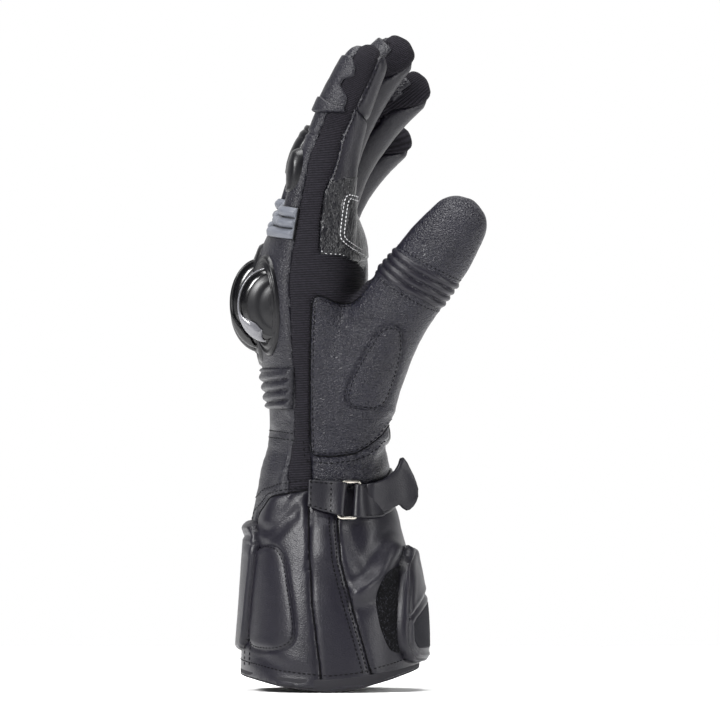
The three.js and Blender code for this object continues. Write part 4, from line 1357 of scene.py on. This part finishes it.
flap_field = both(region(FLAP, BACK_VIEW), region(FLAP_SIDE), beyond(1, 0))
raised("closing_flap", flap_field, 4.6, "cuff", "leather", ["cuff_flap"], edge=1.6, shape=flap_shape)
MESH_PART = view_points([
    (450, 550), (437, 553), (425, 580), (415, 603), (402, 621), (403, 640), (408, 648), (450, 648)
])
MESH_SIDES = across_cuff([(-0.42, 0.1), (-0.42, 0.8), (0.5, 0.8), (0.5, 0.1)])
raised("flap_mesh", both(region(MESH_PART), region(MESH_SIDES, BACK_VIEW), beyond(1, 5)), 4.9, "mesh",
       "stretch_textile", [], edge=0.8, shape=lambda rest: 0.3 * waves(rest, 16.0, 4.0))

# Guard on the back of the cuff, and the heel slider
GUARD = rounded(across_cuff([
    (-0.2, 0.22), (0, 0.2), (0.2, 0.22), (0.23, 0.45), (0.21, 0.78), (0, 0.83), (-0.21, 0.78), (-0.23, 0.45)
]))


def guard_shape(rest):
    """The guard's roll and the sewn groove below it."""
    height = rest[:, 2]
    return (0.9 * np.exp(-(((height - 0.79 * CUFF_HEIGHT) / 1.6) ** 2))
            - 0.7 * np.exp(-(((height - 0.75 * CUFF_HEIGHT) / 0.9) ** 2)))


raised("cuff_guard", both(region(GUARD, BACK_VIEW), beyond(1, -5, -1)), 3.0, "cuff", "leather",
       ["cuff_back_guard"], edge=2.5, shape=guard_shape)
HEEL = rounded(across_hand([
    (-0.36, 0.17), (-0.2, 0.14), (-0.06, 0.16), (-0.03, 0.22), (-0.1, 0.3), (-0.34, 0.31)
]))
raised("heel_slider", both(region(HEEL, BACK_VIEW), beyond(1, 5)), 3.2, "rubber", "armour_rubber",
       ["palm_heel_slider"], edge=2.5)

# Leather at the side of the index finger's root, and the white stitched patch over its edge
GRAIN = view_points([
    (330, 183), (325, 193), (321, 225), (320, 256), (340, 257), (352, 262), (366, 262), (374, 240),
    (366, 200), (362, 176), (346, 178)
])
WHITE_PATCH = rounded(view_points([
    (351, 194.5), (344, 195.5), (340.5, 205), (338, 225), (337.5, 239), (346, 248.5), (361, 257.5),
    (378, 258), (378, 204), (362, 199)
]))
grain_panel, _ = raised("index_side_leather", both(region(GRAIN), beyond(0, 17)), 0.25, "grain",
                        "palm_leather", ["finger_base_reinforcement"], edge=1.0)
white_patch, _ = raised("palm_edge_patch", both(region(WHITE_PATCH), beyond(0, 12)), 1.1, "grain",
                        "palm_leather", [], edge=1.0)

# Stitches: lines traced on a surface where a value is reached, set with short rounded threads
def contour(surface, values, level):
    """Chains of points, each with its surface normal, where the values pass a level."""
    edges, sides = surface.sides()
    over = values > level
    crossing = over[edges[:, 0]] != over[edges[:, 1]]
    hits = crossing[sides]
    near = {}
    for row in np.flatnonzero(hits.sum(axis=1) == 2):
        a, b = sides[row][hits[row]]
        near.setdefault(a, []).append(b)
        near.setdefault(b, []).append(a)
    t = np.zeros(len(edges))
    a, b = edges[crossing].T
    t[crossing] = (level - values[a]) / (values[b] - values[a])
    starts, ends = surface.place[edges[:, 0]], surface.place[edges[:, 1]]
    place = starts + t[:, None] * (ends - starts)
    normals = surface.normals()[edges[:, 0]]
    chains = []
    used = set()
    for first in sorted(near, key=lambda k: len(near[k])):
        if first in used:
            continue
        chain = [first]
        used.add(first)
        while True:
            onward = [k for k in near[chain[-1]] if k not in used]
            if not onward:
                break
            chain.append(onward[0])
            used.add(onward[0])
        if len(chain) > 6:
            chains.append((place[chain], normals[chain]))
    return chains


def eased(chain, rounds=4):
    """A chain with its small steps smoothed."""
    points, normals = chain
    points = points.copy()
    for _ in range(rounds):
        points[1:-1] = 0.5 * points[1:-1] + 0.25 * (points[:-2] + points[2:])
    return points, normals


def kept(chains, test):
    """The runs of the chains where a test of their points holds."""
    runs = []
    for points, normals in chains:
        good = test(points)
        start = None
        for k in range(len(points) + 1):
            if k < len(points) and good[k]:
                start = k if start is None else start
            elif start is not None:
                if k - start > 5:
                    runs.append((points[start:k], normals[start:k]))
                start = None
    return runs


def stitch_tree(finish):
    """Threads set along curves: short rounded beads turned along the line and laid on the surface."""
    tree = bpy.data.node_groups.new("stitch_row", "GeometryNodeTree")
    tree.interface.new_socket("Geometry", in_out="INPUT", socket_type="NodeSocketGeometry")
    for name in ("Pitch", "Length", "Width"):
        tree.interface.new_socket(name, in_out="INPUT", socket_type="NodeSocketFloat")
    tree.interface.new_socket("Geometry", in_out="OUTPUT", socket_type="NodeSocketGeometry")

    def node(kind, settings=None, links=None):
        made = tree.nodes.new(kind)
        for key, value in (settings or {}).items():
            setattr(made, key, value)
        for key, value in (links or {}).items():
            if isinstance(value, bpy.types.NodeSocket):
                tree.links.new(value, made.inputs[key])
            else:
                made.inputs[key].default_value = value
        return made

    given = node("NodeGroupInput")
    line = node("GeometryNodeMeshToCurve", links={"Mesh": given.outputs["Geometry"]})
    spaced = node("GeometryNodeResampleCurve", {"mode": "LENGTH"}, {
        "Curve": line.outputs["Curve"], "Length": given.outputs["Pitch"]})
    bead = node("GeometryNodeMeshUVSphere", links={"Segments": 6, "Rings": 4, "Radius": 0.5})
    size = node("ShaderNodeCombineXYZ", links={
        "X": given.outputs["Length"], "Y": given.outputs["Width"], "Z": given.outputs["Width"]})
    shaped = node("GeometryNodeTransform", links={
        "Geometry": bead.outputs["Mesh"], "Scale": size.outputs["Vector"]})
    tangent = node("GeometryNodeInputTangent")
    normal = node("GeometryNodeInputNamedAttribute", {"data_type": "FLOAT_VECTOR"}, {"Name": "outward"})
    along = node("FunctionNodeAlignRotationToVector", {"axis": "X"}, {"Vector": tangent.outputs["Tangent"]})
    upright = node("FunctionNodeAlignRotationToVector", {"axis": "Z", "pivot_axis": "X"}, {
        "Rotation": along.outputs["Rotation"], "Vector": normal.outputs["Attribute"]})
    placed = node("GeometryNodeInstanceOnPoints", links={
        "Points": spaced.outputs["Curve"], "Instance": shaped.outputs["Geometry"],
        "Rotation": upright.outputs["Rotation"]})
    real = node("GeometryNodeRealizeInstances", links={"Geometry": placed.outputs["Instances"]})
    coloured = node("GeometryNodeSetMaterial", links={
        "Geometry": real.outputs["Geometry"], "Material": FINISHES[finish]})
    node("NodeGroupOutput", links={"Geometry": coloured.outputs["Geometry"]})
    return tree


STITCH_TREES = {finish: stitch_tree(finish) for finish in ("thread", "white_thread")}


def stitches(name, chains, style, finish="thread", slot="leather"):
    """Rows of stitches along chains of points with normals; a style is their pitch, length and width."""
    place, edges, outward = [], [], []
    for chain in chains:
        points, normals = eased(chain)
        start = len(place)
        place += ((points + normals * 0.1) * MM).tolist()
        outward += normals.tolist()
        edges += [(start + k, start + k + 1) for k in range(len(points) - 1)]
    mesh = bpy.data.meshes.new(name)
    mesh.from_pydata(place, edges, [])
    mesh.attributes.new("outward", "FLOAT_VECTOR", "POINT").data.foreach_set(
        "vector", np.array(outward).ravel())
    row = placed(name + "_line", mesh)
    modifier = row.modifiers.new("stitches", "NODES")
    modifier.node_group = STITCH_TREES[finish]
    inputs = {item.name: item.identifier for item in modifier.node_group.interface.items_tree
              if item.in_out == "INPUT"}
    for key, value in zip(("Pitch", "Length", "Width"), style):
        modifier[inputs[key]] = value * MM
    evaluated = row.evaluated_get(bpy.context.evaluated_depsgraph_get())
    threads = bpy.data.meshes.new_from_object(evaluated)
    row.modifiers.remove(modifier)
    bpy.data.objects.remove(row)
    threads.name = name
    finished(placed(name, threads), slot)


def within(thumb_side=-FAR, back_side=FAR, low=-FAR, high=FAR):
    """A test for points beyond a limit towards the thumb, before one towards the palm, between heights."""
    return lambda points: ((points[:, 0] > thumb_side) & (points[:, 1] < back_side)
                           & (points[:, 2] > low) & (points[:, 2] < high))


SEAM_LINE = 0.28  # half the width of a seam's dark line


def seam_lines(name, field, test, slot):
    """The dark line of a seam, laid in its groove where the test holds."""
    for number, chain in enumerate(kept(contour(base, field(base.rest), 0.0), test)):
        points, normals = eased(chain, 10)
        along = np.gradient(points, axis=0)
        along /= np.maximum(np.linalg.norm(along, axis=1, keepdims=True), 1e-9)
        across = np.cross(along, normals)
        turn = (2 * np.pi * np.arange(6) / 6)[None, :, None]
        rings = points[:, None] + normals[:, None] * 0.12 + SEAM_LINE * (
            np.cos(turn) * across[:, None] + np.sin(turn) * normals[:, None])
        finished(lofted(f"{name}_{number}", rings, "thread"), slot)


def near_thumb(points):
    """Whether points lie on the thumb's upper side."""
    share, side, front = thumb.coordinates(points)
    return (side > 0.1) & (np.hypot(side, front) < 1.4) & (share > 0.5)


# Pitch, length and width of a pad's stitches, and of a seam's
PAD_THREADS = (2.2, 1.5, 0.45)
SEAM_THREADS = (2.4, 1.7, 0.45)
front_field = region(left_of(FRONT_SEAM))
stitches("thumb_pad_stitches", contour(thumb_pad, region(THUMB_PAD)(thumb_pad.rest), 1.1), PAD_THREADS)
for name, field, test, slot in (
        ("cuff_seam_line", region(left_of(CUFF_SEAM)), within(5, low=5, high=91), "leather"),
        ("cuff_front_seam_line", front_field, within(5, low=5, high=86), "leather"),
        ("thumb_seam_line", thumb_field, within(14, high=178), "palm_leather"),
        ("cuff_top_line", cuff_field, within(-45, -9), "leather")):
    seam_lines(name, field, test, slot)
stitches("cuff_pad_stitches", contour(cuff_pad, region(CUFF_PAD)(cuff_pad.rest), 1.0), PAD_THREADS)

# Stitch rows on the skin: name, a seam's field, distances from it, where they run, and their style
guard_field = region(left_of(view_points([(254, 535), (251, 560), (248, 600), (246, 660), (247, 700)])))
WRIST_TOP = view_points([(200, 436), (262, 436), (300, 441)])
RIB_TOP = view_points([(200, 370), (300, 372)])
SEAM_ROWS = [
    ("cuff_back_stitches", guard_field, [0.0, -2.2], within(20, low=12, high=66), PAD_THREADS),
    ("thumb_seam_stitches", thumb_field, [1.4], within(12, high=205), SEAM_THREADS),
    ("cuff_top_stitches", cuff_field, [-1.6, -4.4], within(-45, -8), SEAM_THREADS),
    ("cuff_front_stitches", front_field, [1.7, 3.9], within(5, low=9, high=78), (2.0, 1.6, 0.6)),
    ("hem_stitches", hem_field, [6.2], within(high=40), (2.4, 1.7, 0.5)),
    ("thumb_lower_stitches", thumb_field, [-2.8], within(15, high=112), (2.4, 1.8, 0.5)),
    ("side_seam_stitches", region(left_of(PALM_SEAM)), [-1.2], within(20, low=228), (2.2, 1.6, 0.4)),
    ("wrist_back_stitches", region(below(WRIST_TOP)), [0.0, -3.0], within(-36, -19), SEAM_THREADS),
    ("rib_top_stitches", region(below(RIB_TOP)), [0.0], within(-36, -20), PAD_THREADS),
]
for name, field, levels, test, style in SEAM_ROWS:
    values = field(base.rest)
    stitches(name, [chain for level in levels for chain in kept(contour(base, values, level), test)], style)
for name, level in (("thumb_rib_low_stitches", -1.6), ("thumb_rib_high_stitches", 4 * THUMB_RIB_PITCH + 1.6)):
    stitches(name, kept(contour(base, along_thumb(base.rest), level), near_thumb), (2.0, 1.2, 0.4),
             slot="palm_leather")
patch_values = region(WHITE_PATCH)(white_patch.rest)
patch_chains = []
for level, palm_limit in ((0.9, 13), (2.5, 12)):
    patch_chains += kept(contour(white_patch, patch_values, level), within(20, palm_limit))
stitches("patch_white_stitches", patch_chains, (1.75, 1.35, 0.5), "white_thread", "palm_leather")
grain_chains = contour(grain_panel, region(GRAIN)(grain_panel.rest), 0.9)
grain_chains = kept(grain_chains, within(back_side=4, high=197.5))
stitches("side_leather_stitches", grain_chains, (2.0, 0.9, 0.4), "white_thread", "palm_leather")


def strap_row(degrees, across, bar):
    """A stitch line on the strap's upper layer with its normals."""
    degrees = np.asarray(degrees, float)
    offset = WIRE_OFFSET + (WIRE + FOLD) / 2 - 1.5 * smoothstep(0, 10, np.abs(degrees - bar)) + FOLD / 2
    points = strap_place(degrees, across, offset)
    return points, strap_place(degrees, across, offset + 1) - points


bar_low, bar_high = RING_ANGLE - BAR_ANGLE, RING_ANGLE + BAR_ANGLE
strap_lines = []
for across in (-0.84, 0.84):
    strap_lines.append(strap_row(np.linspace(-8, 3, 20), across, bar_low))
    strap_lines.append(strap_row(np.linspace(28, 44, 30), across, bar_high))
upright = np.linspace(-0.84, 0.84, 14)
strap_lines.append(strap_row(np.full(14, 3.0), upright, bar_low))
strap_lines.append(strap_row(np.full(14, -8.0), upright, bar_low))
stitches("strap_stitches", strap_lines, PAD_THREADS)


# Hem: a folded tape round the mouth of the cuff
def hem_ring(share, offset, sides=160):
    """A ring of the tape at a share of its height."""
    turn = 360 * np.arange(sides) / sides
    y = on_body(turn, 3.0)[:, 1]
    return on_body(turn, hem_bottom(y) + share * (hem_bottom(y, HEM_EDGE) - hem_bottom(y)), offset)


# The tape's section: shares of its height, and offsets from the cuff's surface
hem_rows = np.array([hem_ring(share, offset) for share, offset in (
    (0.02, -0.6), (0.0, -0.2), (0.1, 0.1), (0.4, 0.35), (0.9, 0.45), (1.0, 0.3), (1.0, -0.4), (0.5, -1.0))])
finished(lofted("hem_binding", hem_rows.transpose(1, 0, 2), "binding", closed=True), "hem_tape", "hem_tape")

# Camera, floor and light
FLOOR_REACH = 0.9
floor_corners = [(x * FLOOR_REACH, y * FLOOR_REACH, 0) for x, y in ((-1, -1), (1, -1), (1, 1), (-1, 1))]
floor_mesh = bpy.data.meshes.new("floor")
floor_mesh.from_pydata(floor_corners, [], [(0, 1, 2, 3)])
floor_mesh.materials.append(Finish("pale_floor", (0.95, 0.95, 0.95), 0.8).material)
floor = placed("floor", floor_mesh)

CAMERA_AWAY = 6
SENSOR_WIDTH = 36
camera_data = bpy.data.cameras.new("camera")
camera_data.lens = SENSOR_WIDTH / (FRAME_SIDE * FRAME_STEP * MM) * CAMERA_AWAY
camera_data.sensor_width = SENSOR_WIDTH
camera = placed("camera", camera_data)
frame_middle = view_points([(FRAME_SIDE / 2, FRAME_SIDE / 2)])[0]
camera.location = (CAMERA_AWAY, frame_middle[0] * MM, frame_middle[1] * MM)
camera.rotation_euler = (math.pi / 2, 0, math.pi / 2)
bpy.context.scene.camera = camera

GLOVE_MIDDLE = Vector((0, 0.01, 0.15))


def light(name, place, size, strength):
    """A lit rectangle that faces the glove's middle."""
    data = bpy.data.lights.new(name, "AREA")
    data.shape = "RECTANGLE"
    data.size, data.size_y = size
    data.energy = strength
    made = placed(name, data)
    made.location = place
    made.rotation_euler = (GLOVE_MIDDLE - Vector(place)).to_track_quat("-Z", "Y").to_euler()


light("key", (0.9, -0.9, 0.9), (0.4, 0.5), 40)
light("side", (0.5, 1.1, 0.5), (0.3, 0.8), 12)
light("top", (0.0, 0.0, 1.4), (0.9, 0.9), 34)
bpy.context.scene.view_settings.view_transform = "Standard"

# Surroundings: white behind the glove and overhead, and darker towards the camera
world = bpy.data.worlds.new("surroundings")
world.use_nodes = True
sky = world.node_tree.nodes["Background"]
sky.inputs["Color"].default_value = (1, 1, 1, 1)
way = world.node_tree.nodes.new("ShaderNodeTexCoord")
parts = world.node_tree.nodes.new("ShaderNodeSeparateXYZ")
brighter = world.node_tree.nodes.new("ShaderNodeMath")
brighter.operation = "MAXIMUM"
world.node_tree.links.new(way.outputs["Generated"], parts.inputs["Vector"])
# Each fade: its axis, where it starts and ends along it, and what is left of the light at its end
for number, (axis, low, high, dimmest) in enumerate([("X", -0.95, -0.3, 0.06), ("Z", 0.02, 0.08, 0.0)]):
    fade = world.node_tree.nodes.new("ShaderNodeMapRange")
    for key, value in (("From Min", low), ("From Max", high), ("To Min", 1.0), ("To Max", dimmest)):
        fade.inputs[key].default_value = value
    world.node_tree.links.new(parts.outputs[axis], fade.inputs["Value"])
    world.node_tree.links.new(fade.outputs["Result"], brighter.inputs[number])
world.node_tree.links.new(brighter.outputs["Value"], sky.inputs["Strength"])
bpy.context.scene.world = world
